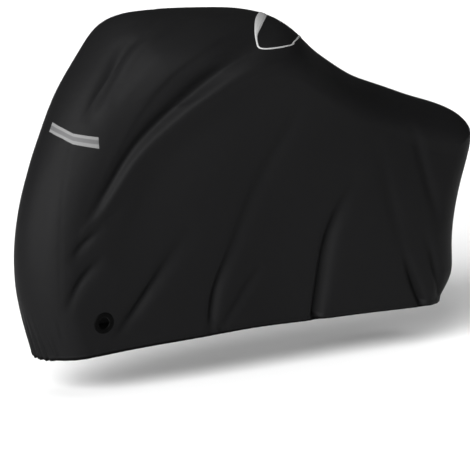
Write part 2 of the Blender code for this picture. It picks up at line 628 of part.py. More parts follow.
def lock_strip(name, side, material):
    """The lower front corner of a side, with the round hole for the lock's eyelet."""
    u_edge = LOCK_STRIP_COLUMNS / PANEL_COLUMNS
    v_edge = 1 - LOCK_STRIP_ROWS / PANEL_ROWS
    per_side = LOCK_STRIP_RAYS // 4
    run = np.arange(per_side) / per_side
    u = np.concatenate([run, np.ones(per_side), 1 - run, np.zeros(per_side)]) * u_edge
    v = 1 - np.concatenate([np.zeros(per_side), run, np.ones(per_side), 1 - run]) * (1 - v_edge)
    border = panel_place(u, v)
    centre = np.array(LOCK_CENTRE)
    rays = direction(border - centre)
    rings = [centre + rays * LOCK_HOLE, centre + rays * LOCK_FLAT]
    for ring in range(1, LOCK_STRIP_RINGS + 1):
        rings.append(rings[1] + (border - rings[1]) * ring / LOCK_STRIP_RINGS)
    place = np.stack(rings)
    points = cloth(place[..., 0], place[..., 1], side)
    shift = np.zeros_like(points)
    around = np.concatenate([points[-1, -1:], points[-1], points[-1, :1]])
    shift[-1] = seam_shift(around, np.concatenate([points[-2, -1:], points[-2], points[-2, :1]]))[1:-1]
    faces = []
    for ring in range(len(rings) - 1):
        for ray in range(LOCK_STRIP_RAYS):
            after = (ray + 1) % LOCK_STRIP_RAYS
            a = ring * LOCK_STRIP_RAYS
            face = (a + ray, a + after, a + LOCK_STRIP_RAYS + after, a + LOCK_STRIP_RAYS + ray)
            faces.append(face if side == RIGHT else face[::-1])
    inner = cloth(place[..., 0], place[..., 1], side, -CLOTH_THICKNESS)
    return cloth_piece(name, points + shift, inner + shift, faces, material)


def anticlockwise(face, corners):
    """The face's corners in the order that keeps its inside on the left."""
    loop = [corners[index] for index in face]
    area = sum(a[0] * b[1] - b[0] * a[1] for a, b in zip(loop, loop[1:] + loop[:1]))
    return tuple(face) if area > 0 else tuple(face)[::-1]


def seated(name, points, chart, faces, outline, opening, thickness, material):
    """A piece laid on a faceted skin: the part of it inside an outline, less an opening, in its chart."""
    corners = [tuple(place) for place in chart]
    shapes = [anticlockwise(face, corners) for face in faces]
    for loop in (outline, opening):
        first = len(corners)
        corners += [tuple(place) for place in loop]
        if len(loop):
            shapes.append(anticlockwise(range(first, len(corners)), corners))
    corners = [Vector(corner) for corner in corners]
    flat, _, pieces, _, _, sources = delaunay_2d_cdt(corners, [], shapes, 1, CHART_PRECISION)
    inside = len(faces)
    kept = [(piece, source) for piece, source in zip(pieces, sources)
            if inside in source and inside + 1 not in source and min(source) < inside]
    work = bmesh.new()
    made = {}
    for piece, source in kept:
        ends = faces[min(source)]
        a, b, c = (Vector(chart[index]) for index in ends)
        for index in piece:
            if index not in made:
                second, third = Matrix(((b - a), (c - a))).transposed().inverted() @ (flat[index] - a)
                first = 1 - second - third
                spot = points[ends[0]] * first + points[ends[1]] * second + points[ends[2]] * third
                made[index] = work.verts.new(spot)
        work.faces.new([made[index] for index in piece])
    bmesh.ops.remove_doubles(work, verts=work.verts, dist=WELD)
    bmesh.ops.recalc_face_normals(work, faces=work.faces)
    axis = Vector((NOSE_AXIS_X, 0.0, FLAP_AXIS_Z))
    middle = sum((face.calc_center_median() for face in work.faces), Vector()) / len(work.faces)
    outward = sum(face.normal.dot(middle - axis) for face in work.faces)
    if outward < 0:
        bmesh.ops.reverse_faces(work, faces=work.faces)
    work.verts.index_update()
    work.normal_update()
    raised = [vert.co + vert.normal * SEAT_GAP for vert in work.verts]
    shapes = [tuple(vert.index for vert in face.verts) for face in work.faces]
    work.free()
    thing = new_object(name, raised, shapes, material)
    solid = thing.modifiers.new("thickness", "SOLIDIFY")
    solid.thickness = thickness
    solid.offset = 1.0
    return thing


def corner_strip(name, side, word, material):
    """Reflective tape across a front corner, drooping from the nose towards the side."""
    front = front_grid()
    near = front[:, :FRONT_COLUMNS + 1][:, ::-1] if side == LEFT else front[:, FRONT_COLUMNS:]
    points = np.concatenate([near[:, :-1], side_grid(side)[:, :STRIP_GRID_COLUMNS]], 1)
    points = points[STRIP_GRID_ROWS[0]:STRIP_GRID_ROWS[1]]
    rows, columns = points.shape[:2]
    # The front's triangles and the side's lean the other way round, so each keeps its own diagonal.
    faces = []
    for row in range(rows - 1):
        for column in range(columns - 1):
            a = row * columns + column
            b = a + columns
            if column < FRONT_COLUMNS and side == LEFT:
                faces += [(a + 1, a, b), (a + 1, b, b + 1)]
            else:
                faces += [(a, a + 1, b + 1), (a, b + 1, b)]
    points = points.reshape(-1, 3)
    chart = np.stack([np.arctan2(np.abs(points[:, 1]), NOSE_AXIS_X - points[:, 0]), points[:, 2]], -1)
    line = np.array(STRIP_LINE)
    degrees = np.linspace(*STRIP_DEGREES[word], STRIP_STEPS + 1)
    middle = np.interp(degrees, line[:, 0], line[:, 1])
    half_height = np.interp(degrees, line[:, 0], line[:, 2]) / 2
    top = np.stack([np.radians(degrees), middle + half_height], -1)
    bottom = np.stack([np.radians(degrees), middle - half_height], -1)
    outline = np.concatenate([top, bottom[::-1]])
    return seated(name, points, chart, faces, outline, [], TAPE_THICKNESS, material)


def eyelet(name, side, material):
    """A turned ring that grips the rim of the lock hole between an outer and an inner flange."""
    front = SEAT_GAP + EYELET_LIP
    back = -CLOTH_THICKNESS - SEAT_GAP
    groove = LOCK_HOLE - EYELET_GROOVE_GAP
    section = [
        (EYELET_BORE, front - EYELET_BEVEL),
        (EYELET_BORE + EYELET_BEVEL, front),
        (EYELET_OUTER - EYELET_BEVEL, front),
        (EYELET_OUTER, front - EYELET_BEVEL),
        (EYELET_OUTER, SEAT_GAP),
        (groove, SEAT_GAP),
        (groove, back),
        (EYELET_BACK, back),
        (EYELET_BACK, back - EYELET_LIP),
        (EYELET_BORE + EYELET_BEVEL, back - EYELET_LIP),
        (EYELET_BORE, back - EYELET_LIP + EYELET_BEVEL),
    ]
    mesh = bpy.data.meshes.new(name)
    count = len(section)
    mesh.from_pydata([(r, 0.0, h) for r, h in section], [(i, (i + 1) % count) for i in range(count)], [])
    mesh.materials.append(material)
    ring = bpy.data.objects.new(name, mesh)
    PARTS.objects.link(ring)
    screw = ring.modifiers.new("turned", "SCREW")
    screw.steps = EYELET_STEPS
    screw.render_steps = EYELET_STEPS
    screw.use_merge_vertices = True
    screw.merge_threshold = WELD
    screw.use_normal_calculate = True
    outward = Vector((-LOCK_SLOPE_X, side * 1.0, -LOCK_SLOPE_Z)).normalized()
    ring.rotation_mode = "QUATERNION"
    ring.rotation_quaternion = outward.to_track_quat("Z", "Y")
    ring.location = (LOCK_CENTRE[0], side * LOCK_WIDTH, LOCK_CENTRE[1])
    return ring


def flap_loop(front, rear, tip_degrees, inset):
    """A flap outline that crosses the ridge, as places (x, degrees round from the ridge)."""
    rib = Curve([(row.degrees, getattr(row, front), getattr(row, rear)) for row in FLAP_RIBS], False)
    last = FLAP_RIBS[-1].degrees
    degrees = np.linspace(0, last, FLAP_EDGE_STEPS + 1)
    edges = rib.at(degrees) + np.array((inset, -inset))
    swing = np.linspace(0, math.pi, FLAP_TIP_STEPS + 1)[1:-1]
    middle = edges[-1].mean()
    half = (edges[-1, 1] - edges[-1, 0]) / 2
    tip_x = middle - half * np.cos(swing) + FLAP_TIP_LEAN * np.sin(swing)**2
    tip_end = tip_degrees - math.degrees(inset / FLAP_TIP_RADIUS)
    tip = np.stack([tip_x, last + (tip_end - last) * np.sin(swing)], -1)
    down = np.stack([edges[:, 0], degrees], -1)
    back = np.stack([edges[::-1, 1], degrees[::-1]], -1)
    right = np.concatenate([down, tip, back])
    left = right[::-1][1:-1] * np.array((1.0, -1.0))
    return np.concatenate([right, left]) * np.array((1.0, math.radians(1)))


def ridge_skin():
    """The cover's faceted skin over the ridge, with its chart: x, and the angle round from the ridge."""
    columns = slice(*FLAP_GRID_COLUMNS)
    left = side_grid(LEFT)[:FLAP_GRID_ROWS, columns]
    right = side_grid(RIGHT)[:FLAP_GRID_ROWS, columns]
    points = np.concatenate([left[::-1], right[1:]])
    rows, width = points.shape[:2]
    faces = []
    for row in range(rows - 1):
        for column in range(width - 1):
            a = row * width + column
            b = a + width
            if row < FLAP_GRID_ROWS - 1:
                faces += [(b, b + 1, a + 1), (b, a + 1, a)]
            else:
                faces += [(a, a + 1, b + 1), (a, b + 1, b)]
    points = points.reshape(-1, 3)
    chart = np.stack([points[:, 0], np.arctan2(points[:, 1], points[:, 2] - FLAP_AXIS_Z)], -1)
    return points, chart, faces


def top_flap(material):
    """The flap's own cloth, a saddle over the ridge inside the edging."""
    points, chart, faces = ridge_skin()
    outline = flap_loop("cloth_front", "cloth_rear", FLAP_TIP_DEGREES[1], SEAM_GAP)
    return seated("top_flap", points, chart, faces, outline, [], CLOTH_THICKNESS, material)


def flap_trim(material):
    """Reflective edging, one closed band that crosses the ridge before and behind the flap."""
    points, chart, faces = ridge_skin()
    outline = flap_loop("front", "rear", FLAP_TIP_DEGREES[0], 0.0)
    opening = flap_loop("cloth_front", "cloth_rear", FLAP_TIP_DEGREES[1], 0.0)
    return seated("flap_trim", points, chart, faces, outline, opening, TAPE_THICKNESS, material)


def material(name, colour, roughness):
    made = bpy.data.materials.new(name)
    made.use_nodes = True
    shader = made.node_tree.nodes["Principled BSDF"]
    shader.inputs["Base Color"].default_value = (*colour, 1.0)
    shader.inputs["Roughness"].default_value = roughness
    shader.inputs["Metallic"].default_value = 0.0
    return made


for old in list(bpy.data.objects):
    bpy.data.objects.remove(old, do_unlink=True)
PARTS = bpy.data.collections.new("bike_cover")
bpy.context.scene.collection.children.link(PARTS)

front_panel(material("front cloth", (0.022, 0.022, 0.022), 0.75))
for side, word in ((LEFT, "left"), (RIGHT, "right")):
    cover_cloth = material(f"{word} cloth", (0.020, 0.020, 0.020), 0.75)
    side_panel(f"side_panel_{word}", side, cover_cloth)
    lock_strip(f"lock_strip_{word}", side, cover_cloth)
    eyelet(f"lock_eyelet_{word}", side, material(f"{word} eyelet", (0.004, 0.004, 0.004), 0.35))
    corner_strip(f"corner_strip_{word}", side, word, material(f"{word} tape", (0.45, 0.45, 0.45), 0.4))
top_flap(material("flap cloth", (0.024, 0.024, 0.024), 0.7))
flap_trim(material("edging tape", (0.60, 0.60, 0.60), 0.4))
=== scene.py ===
"""A fitted bike cover of thin black coated cloth, hanging over an upright bicycle that is left out.

Metres, +Z up, the front of the cover towards -X and its left side towards -Y. The cloth is a fine skin
on the folds of its solids: hull() gives the distance of the bare skin from the centre plane at a place
(x, z) of the side view, FOLDS presses the main folds into it, and CREASES the small ones. The strips,
the flap and its edging are laid on that skin, and the stitches run along lines on it.
"""

import math
from collections import namedtuple

import bmesh
import bpy
import numpy as np
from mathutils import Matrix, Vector
from mathutils.bvhtree import BVHTree


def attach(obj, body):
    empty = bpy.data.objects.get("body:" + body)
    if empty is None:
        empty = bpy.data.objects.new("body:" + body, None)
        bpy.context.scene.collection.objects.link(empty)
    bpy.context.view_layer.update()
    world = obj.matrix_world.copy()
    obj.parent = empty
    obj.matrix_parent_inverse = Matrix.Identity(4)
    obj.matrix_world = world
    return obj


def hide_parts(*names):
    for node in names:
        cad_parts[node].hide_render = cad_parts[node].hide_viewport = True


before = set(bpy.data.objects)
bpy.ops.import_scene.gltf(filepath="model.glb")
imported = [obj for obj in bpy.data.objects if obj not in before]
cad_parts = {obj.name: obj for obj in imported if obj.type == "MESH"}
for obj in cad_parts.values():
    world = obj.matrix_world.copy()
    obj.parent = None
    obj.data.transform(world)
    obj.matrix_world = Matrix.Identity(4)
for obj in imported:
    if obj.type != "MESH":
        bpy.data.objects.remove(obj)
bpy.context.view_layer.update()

LEFT = -1
RIGHT = 1
GROUND_Z = -1.244

# The hole for the lock's eyelet, as a place of the side view, with the flat cloth round it.
LOCK_CENTRE = (-0.438, -0.994)
LOCK_HOLE = 0.027
LOCK_FLAT = 0.042
LOCK_BLEND = 0.034
EYELET_BORE = 0.0195
EYELET_OUTER = 0.0362
EYELET_LIP = 0.0034
EYELET_STEPS = 96

# Lock stitches, in single rows beside the seams and above the hem's darker band, which is painted shade.
STITCH_LENGTH = 0.0030
STITCH_STEP = 0.0042
STITCH_RADIUS = 0.00032
HEM_STITCH_ROW = 6
RIDGE_STITCH_ROW = 4
SEAM_STITCH_COLUMN = 2

# The cloth's grid. Its cells are smaller where the cloth turns over the ridge and the tail.
SIDE_COLUMNS = 330
CLOTH_ROWS = 220
HEM_ROWS = 14
HEM_SHARE = 0.022
FRONT_COLUMNS = 44
ROW_EASE = 0.22
COLUMN_EASE = 0.22

# The hem is turned in round a cord, and goes up again on the inside.
HEM_ROLL = 0.0030
HEM_TURN_STEPS = 6
HEM_INSIDE = 0.016
HEM_BAND = 0.014
HEM_EDGE = 0.003
HEM_RISE = 0.0010
# The lowest rows and the rolled edge take a near-black material, painted shade under the hem's roll.
SHADED_HEM_ROWS = 4

# The elastic in the hem draws the cloth above it into small ruffles.
GATHER_HEIGHT = 0.055
GATHER_DEPTH = 0.0005
GATHER_WAVES = 190.0
GATHER_SWAY = 31.0
NOSE_GATHER_HEIGHT = 0.19
NOSE_GATHER_DEPTH = 0.0030
NOSE_GATHER_WAVES = 270.0
NOSE_GATHER_SPREAD = 14.0
NOSE_GATHER_START = -0.565
NOSE_GATHER_BLEND = 0.030

# The corner seams lie a little lower than the cloth, puckered by their stitches.
SEAM_SAMPLES = 160
SEAM_DEPTH = 0.0007
SEAM_WIDTH = 0.005
SEAM_PUCKER = 0.35
PUCKER_WAVES = 210.0
PUCKER_SWAY = 23.0

# How finely the hull is worked out. Folds die away within FOLD_FADE of the centre plane.
PROFILE_SAMPLES = 241
NEAREST_BATCH = 20000
NEAREST_TRIES = 4
NEAREST_DAMPING = 0.9
NEAREST_STEP = 0.02
SLOPE_STEP = 0.002
LOCK_SLOPE_STEP = 0.01
FOLD_STEP = 0.02
LEAST_FOLD_WIDTH = 0.001
FOLD_FADE = 0.06
LEAST_ANGLE = 0.001

Profile = namedtuple("Profile", "x z turn")
Station = namedtuple("Station", "x hem waist shoulder shoulder_z hem_z")

# The outline in the centre plane, from the front hem over the ridge to the rear hem. The turn is how
# deep the cloth takes to come round from the centre plane to the flat of the side.
PROFILE = [
    Profile(-0.597, -1.122, 0.11),
    Profile(-0.650, -0.960, 0.12),
    Profile(-0.675, -0.775, 0.13),
    Profile(-0.646, -0.580, 0.13),
    Profile(-0.574, -0.395, 0.14),
    Profile(-0.499, -0.245, 0.15),
    Profile(-0.408, -0.122, 0.17),
    Profile(-0.298, -0.021, 0.18),
    Profile(-0.155, 0.005, 0.18),
    Profile(0.000, 0.0016, 0.18),
    Profile(0.165, -0.0085, 0.18),
    Profile(0.300, -0.035, 0.18),
    Profile(0.435, -0.130, 0.18),
    Profile(0.550, -0.206, 0.17),
    Profile(0.660, -0.267, 0.16),
    Profile(0.815, -0.325, 0.15),
    Profile(0.965, -0.378, 0.14),
    Profile(1.085, -0.418, 0.13),
    Profile(1.166, -0.478, 0.13),
    Profile(1.169, -0.575, 0.14),
    Profile(1.139, -0.680, 0.16),
    Profile(1.115, -0.790, 0.18),
    Profile(1.107, -0.905, 0.18),
    Profile(1.107, -1.010, 0.17),
    Profile(1.055, -1.102, 0.15),
]

# Half-widths of the cover at the hem, at mid height and at the shoulder, along its length.
STATIONS = [
    Station(-0.70, 0.110, 0.115, 0.110, -0.62, -1.123),
    Station(-0.50, 0.130, 0.150, 0.140, -0.42, -1.112),
    Station(-0.30, 0.150, 0.180, 0.200, -0.32, -1.098),
    Station(-0.05, 0.160, 0.210, 0.290, -0.24, -1.091),
    Station(0.17, 0.160, 0.220, 0.330, -0.20, -1.086),
    Station(0.40, 0.160, 0.220, 0.285, -0.32, -1.091),
    Station(0.65, 0.165, 0.215, 0.225, -0.44, -1.095),
    Station(0.90, 0.170, 0.200, 0.195, -0.54, -1.101),
    Station(1.25, 0.150, 0.175, 0.180, -0.62, -1.104),
]

# The seam at each front corner, in the side view: it starts at the hem, at SEAM_FOOT_X, and ends on the
# outline where that is nearest to SEAM_HEAD. The side's other corner on the outline is nearest to TAIL.
SEAM_FOOT_X = -0.572
SEAM_HEAD = (-0.130, 0.003)
TAIL = (1.155, -0.465)
CORNER_SEAM = [
    (-0.594, -0.834),
    (-0.576, -0.571),
    (-0.520, -0.381),
    (-0.450, -0.255),
    (-0.368, -0.145),
    (-0.275, -0.052),
]

# The main folds, left and right. The rows of each follow its line from its top to its foot: x, z, its
# widths on its upper flank and on the other one, and its depth, which is negative for a ridge.
FOLDS = {
    "left": {
        "nose hollow": [
            (-0.10, 0.00, 0.014, 0.016, 0.003), (-0.26, -0.04, 0.016, 0.018, 0.007),
            (-0.33, -0.09, 0.018, 0.020, 0.010), (-0.38, -0.16, 0.020, 0.022, 0.011),
            (-0.42, -0.22, 0.020, 0.022, 0.010), (-0.46, -0.28, 0.018, 0.022, 0.006),
            (-0.485, -0.34, 0.016, 0.020, 0.000),
        ],
        "brow hollow": [
            (-0.05, -0.01, 0.018, 0.022, 0.002), (-0.18, -0.05, 0.018, 0.024, 0.006),
            (-0.28, -0.10, 0.018, 0.024, 0.007), (-0.34, -0.17, 0.016, 0.022, 0.006),
            (-0.38, -0.22, 0.014, 0.018, 0.004), (-0.41, -0.28, 0.014, 0.018, 0.000),
        ],
        "long edge": [
            (0.185, -0.035, 0.030, 0.010, -0.001), (0.005, -0.060, 0.030, 0.010, -0.003),
            (-0.105, -0.100, 0.030, 0.010, -0.004), (-0.205, -0.160, 0.030, 0.010, -0.004),
            (-0.275, -0.230, 0.030, 0.010, -0.004), (-0.335, -0.310, 0.028, 0.010, -0.003),
            (-0.405, -0.430, 0.024, 0.010, -0.002), (-0.485, -0.570, 0.020, 0.010, 0.000),
        ],
        "long hollow": [
            (0.170, -0.070, 0.030, 0.022, 0.002), (0.010, -0.135, 0.045, 0.022, 0.012),
            (-0.080, -0.195, 0.045, 0.022, 0.016), (-0.160, -0.255, 0.042, 0.022, 0.017),
            (-0.230, -0.315, 0.036, 0.020, 0.016), (-0.290, -0.370, 0.030, 0.018, 0.014),
            (-0.350, -0.435, 0.026, 0.016, 0.012), (-0.390, -0.495, 0.024, 0.015, 0.011),
            (-0.430, -0.555, 0.022, 0.014, 0.010), (-0.470, -0.615, 0.020, 0.014, 0.007),
            (-0.510, -0.685, 0.018, 0.014, 0.000),
        ],
        "handlebar ridge": [
            (0.255, -0.120, 0.022, 0.045, 0.000), (0.195, -0.138, 0.020, 0.050, -0.003),
            (0.065, -0.165, 0.018, 0.055, -0.007), (-0.095, -0.245, 0.016, 0.055, -0.009),
            (-0.235, -0.355, 0.015, 0.045, -0.008), (-0.375, -0.505, 0.014, 0.035, -0.007),
            (-0.435, -0.595, 0.014, 0.030, -0.007), (-0.505, -0.670, 0.012, 0.025, -0.005),
            (-0.535, -0.705, 0.012, 0.020, 0.000),
        ],
        "belly": [
            (0.25, -0.25, 0.060, 0.100, 0.000), (0.10, -0.28, 0.070, 0.120, 0.008),
            (-0.05, -0.36, 0.070, 0.130, 0.012), (-0.18, -0.46, 0.070, 0.130, 0.012),
            (-0.28, -0.58, 0.060, 0.110, 0.009), (-0.36, -0.72, 0.050, 0.080, 0.004),
            (-0.42, -0.80, 0.050, 0.060, 0.000),
        ],
        "upper shin": [
            (-0.44, -0.665, 0.014, 0.018, 0.000), (-0.49, -0.70, 0.015, 0.020, 0.007),
            (-0.53, -0.735, 0.015, 0.020, 0.008), (-0.57, -0.785, 0.013, 0.018, 0.000),
        ],
        "lower shin": [
            (-0.44, -0.765, 0.016, 0.022, 0.000), (-0.49, -0.81, 0.018, 0.026, 0.008),
            (-0.53, -0.855, 0.018, 0.026, 0.009), (-0.56, -0.91, 0.016, 0.022, 0.006),
            (-0.575, -0.96, 0.014, 0.018, 0.000),
        ],
        "lock hollow": [
            (-0.10, -0.69, 0.030, 0.040, 0.000), (-0.18, -0.78, 0.026, 0.034, 0.007),
            (-0.25, -0.88, 0.022, 0.030, 0.012), (-0.31, -0.955, 0.020, 0.026, 0.012),
            (-0.36, -1.01, 0.018, 0.024, 0.007), (-0.41, -1.06, 0.016, 0.020, 0.001),
        ],
        "middle drop": [
            (0.27, -0.27, 0.020, 0.030, 0.000), (0.23, -0.38, 0.025, 0.035, 0.006),
            (0.18, -0.47, 0.025, 0.035, 0.008), (0.13, -0.57, 0.025, 0.040, 0.009),
            (0.09, -0.68, 0.024, 0.036, 0.010), (0.03, -0.85, 0.020, 0.030, 0.012),
            (0.00, -0.93, 0.018, 0.026, 0.014), (-0.01, -1.00, 0.018, 0.022, 0.012),
            (-0.015, -1.07, 0.018, 0.020, 0.005),
        ],
        "short drop": [
            (0.19, -0.86, 0.018, 0.020, 0.000), (0.14, -0.92, 0.018, 0.024, 0.007),
            (0.08, -1.00, 0.016, 0.022, 0.008), (0.03, -1.07, 0.016, 0.020, 0.004),
        ],
        "rear drop": [
            (0.57, -0.57, 0.030, 0.035, 0.000), (0.52, -0.64, 0.030, 0.035, 0.007),
            (0.475, -0.72, 0.028, 0.036, 0.014), (0.45, -0.80, 0.026, 0.036, 0.018),
            (0.44, -0.90, 0.024, 0.034, 0.021), (0.435, -0.98, 0.022, 0.032, 0.022),
            (0.43, -1.07, 0.022, 0.030, 0.020),
        ],
        "tail sag": [
            (0.81, -0.43, 0.024, 0.030, 0.000), (0.84, -0.50, 0.024, 0.030, 0.008),
            (0.87, -0.59, 0.024, 0.030, 0.010), (0.90, -0.68, 0.024, 0.028, 0.010),
            (0.93, -0.76, 0.022, 0.026, 0.007), (0.945, -0.84, 0.020, 0.022, 0.000),
        ],
        "saddle sag": [
            (0.64, -0.46, 0.030, 0.030, 0.000), (0.67, -0.56, 0.030, 0.030, 0.006),
            (0.70, -0.66, 0.028, 0.030, 0.007), (0.74, -0.77, 0.026, 0.028, 0.006),
            (0.77, -0.86, 0.024, 0.024, 0.000),
        ],
        "rear hem, first": [
            (0.76, -0.83, 0.022, 0.022, 0.000), (0.80, -0.92, 0.022, 0.024, 0.008),
            (0.85, -1.01, 0.020, 0.022, 0.013), (0.89, -1.08, 0.020, 0.022, 0.013),
        ],
        "rear hem, second": [
            (0.87, -0.82, 0.018, 0.018, 0.000), (0.915, -0.91, 0.018, 0.020, 0.008),
            (0.95, -0.99, 0.018, 0.020, 0.009), (0.98, -1.06, 0.018, 0.018, 0.007),
        ],
    },
    "right": {
        "nose hollow": [
            (-0.09, -0.01, 0.016, 0.020, 0.002), (-0.27, -0.06, 0.018, 0.022, 0.008),
            (-0.38, -0.17, 0.022, 0.026, 0.011), (-0.44, -0.27, 0.020, 0.024, 0.008),
            (-0.48, -0.36, 0.018, 0.020, 0.000),
        ],
        "long hollow": [
            (0.13, -0.05, 0.030, 0.022, 0.002), (-0.05, -0.14, 0.045, 0.024, 0.013),
            (-0.20, -0.25, 0.040, 0.022, 0.016), (-0.33, -0.37, 0.030, 0.020, 0.014),
            (-0.44, -0.53, 0.024, 0.018, 0.010), (-0.53, -0.70, 0.018, 0.016, 0.000),
        ],
        "handlebar ridge": [
            (0.22, -0.12, 0.018, 0.050, -0.003), (0.02, -0.18, 0.018, 0.055, -0.008),
            (-0.16, -0.29, 0.018, 0.050, -0.008), (-0.34, -0.45, 0.018, 0.040, -0.007),
            (-0.52, -0.70, 0.016, 0.024, 0.000),
        ],
        "belly": [
            (0.22, -0.26, 0.060, 0.100, 0.000), (0.00, -0.36, 0.070, 0.130, 0.011),
            (-0.20, -0.52, 0.070, 0.120, 0.011), (-0.38, -0.78, 0.050, 0.070, 0.000),
        ],
        "lock hollow": [
            (-0.12, -0.66, 0.030, 0.038, 0.000), (-0.22, -0.82, 0.026, 0.034, 0.010),
            (-0.32, -0.95, 0.022, 0.028, 0.011), (-0.39, -1.04, 0.018, 0.022, 0.003),
        ],
        "middle drop": [
            (0.24, -0.32, 0.024, 0.034, 0.000), (0.16, -0.52, 0.028, 0.040, 0.009),
            (0.08, -0.75, 0.026, 0.036, 0.012), (0.04, -0.93, 0.022, 0.030, 0.014),
            (0.03, -1.06, 0.020, 0.024, 0.009),
        ],
        "rear drop": [
            (0.52, -0.54, 0.030, 0.036, 0.000), (0.45, -0.70, 0.030, 0.036, 0.012),
            (0.41, -0.87, 0.026, 0.034, 0.018), (0.40, -1.06, 0.024, 0.030, 0.019),
        ],
        "tail sag": [
            (0.79, -0.45, 0.026, 0.030, 0.000), (0.85, -0.60, 0.026, 0.030, 0.010),
            (0.91, -0.77, 0.024, 0.026, 0.008), (0.94, -0.87, 0.020, 0.022, 0.000),
        ],
        "rear hem": [
            (0.80, -0.84, 0.022, 0.024, 0.000), (0.88, -0.95, 0.022, 0.024, 0.010),
            (0.95, -1.05, 0.020, 0.020, 0.012),
        ],
    },
}

# Small creases between the main folds, alike on both sides.
CREASES = {
    "front band": [
        (-0.57, -0.45, 0.020, 0.020, 0.0000), (-0.62, -0.57, 0.022, 0.022, 0.0035),
        (-0.65, -0.71, 0.022, 0.022, 0.0040), (-0.655, -0.90, 0.020, 0.020, 0.0000),
    ],
    "under handlebar": [
        (0.20, -0.16, 0.010, 0.018, 0.0000), (0.06, -0.19, 0.010, 0.018, 0.0030),
        (-0.08, -0.26, 0.010, 0.018, 0.0020), (-0.18, -0.33, 0.010, 0.018, 0.0000),
    ],
    "knee crease": [
        (-0.36, -0.60, 0.012, 0.014, 0.0000), (-0.43, -0.64, 0.012, 0.014, 0.0025),
        (-0.49, -0.66, 0.010, 0.012, 0.0000),
    ],
}

# The sharp floors of the left side's main folds.
LEFT_CREASES = {
    "nose floor": [
        (-0.24, -0.035, 0.010, 0.012, 0.000), (-0.33, -0.090, 0.012, 0.014, 0.006),
        (-0.39, -0.175, 0.012, 0.014, 0.007), (-0.44, -0.250, 0.012, 0.014, 0.005),
        (-0.48, -0.330, 0.010, 0.012, 0.000),
    ],
    "long floor": [
        (0.130, -0.090, 0.025, 0.014, 0.000), (0.010, -0.130, 0.030, 0.014, 0.008),
        (-0.090, -0.195, 0.030, 0.014, 0.011), (-0.170, -0.260, 0.028, 0.014, 0.011),
        (-0.250, -0.330, 0.024, 0.013, 0.009), (-0.330, -0.410, 0.018, 0.012, 0.006),
        (-0.410, -0.525, 0.014, 0.010, 0.004), (-0.470, -0.615, 0.012, 0.010, 0.000),
    ],
    "rear floor": [
        (0.50, -0.670, 0.014, 0.018, 0.000), (0.455, -0.800, 0.014, 0.018, 0.008),
        (0.44, -0.920, 0.013, 0.018, 0.014), (0.435, -1.070, 0.013, 0.018, 0.014),
    ],
    "first hem floor": [
        (0.80, -0.900, 0.012, 0.014, 0.000), (0.85, -1.010, 0.012, 0.014, 0.010),
        (0.89, -1.080, 0.012, 0.014, 0.010),
    ],
    "second hem floor": [
        (0.91, -0.890, 0.010, 0.012, 0.000), (0.95, -0.990, 0.010, 0.012, 0.006),
        (0.98, -1.060, 0.010, 0.012, 0.005),
    ],
    "middle floor": [
        (0.05, -0.800, 0.012, 0.015, 0.000), (0.00, -0.930, 0.012, 0.014, 0.007),
        (-0.012, -1.030, 0.012, 0.014, 0.004),
    ],
    "lock floor": [
        (-0.20, -0.810, 0.012, 0.015, 0.000), (-0.27, -0.900, 0.012, 0.014, 0.006),
        (-0.33, -0.980, 0.011, 0.013, 0.005), (-0.38, -1.030, 0.010, 0.012, 0.000),
    ],
    "upper shin floor": [
        (-0.47, -0.690, 0.009, 0.010, 0.000), (-0.51, -0.720, 0.009, 0.010, 0.005),
        (-0.55, -0.760, 0.009, 0.010, 0.000),
    ],
    "lower shin floor": [
        (-0.47, -0.790, 0.010, 0.012, 0.000), (-0.51, -0.830, 0.010, 0.012, 0.006),
        (-0.545, -0.880, 0.010, 0.012, 0.004), (-0.565, -0.930, 0.010, 0.012, 0.000),
    ],
}

# The flap behind the handlebar, one row for each rib across it: how many degrees round from the ridge
# the rib lies, and the x of the flap's front edge, of the cloth inside its edging, and of its rear edge.
Rib = namedtuple("Rib", "degrees front cloth_front cloth_rear rear")
FLAP_RIBS = [
    Rib(0, 0.292, 0.330, 0.450, 0.458),
    Rib(12, 0.250, 0.287, 0.437, 0.445),
    Rib(24, 0.184, 0.226, 0.401, 0.409),
    Rib(36, 0.124, 0.151, 0.331, 0.340),
    Rib(43, 0.100, 0.109, 0.284, 0.293),
    Rib(48, 0.091, 0.098, 0.239, 0.248),
]
FLAP_TIP_DEGREES = (51.8, 50.9)
FLAP_TIP_LEAN = -0.027
FLAP_AXIS_Z = -0.35
FLAP_EDGE_STEPS = 60
FLAP_TIP_STEPS = 40
FLAP_RINGS = 24

# A corner strip along its middle line: degrees round from the nose, z of the middle, and its height.
NOSE_AXIS_X = -0.43
Place = namedtuple("Place", "degrees z height")
STRIP_LINE = [
    Place(0, -0.345, 0.030),
    Place(10, -0.3485, 0.030),
    Place(30, -0.362, 0.0315),
    Place(47, -0.3785, 0.034),
    Place(60, -0.3835, 0.035),
    Place(70, -0.3873, 0.036),
    Place(81, -0.3915, 0.037),
    Place(118, -0.400, 0.037),
]
STRIP_DEGREES = {"left": (6.0, 81.0), "right": (44.0, 118.0)}
STRIP_STEPS = 90
STRIP_ROWS = 16

SEAT = 0.0006
FLAP_SEAT = 0.0008
TAPE = 0.0009
RAY_START = 0.75


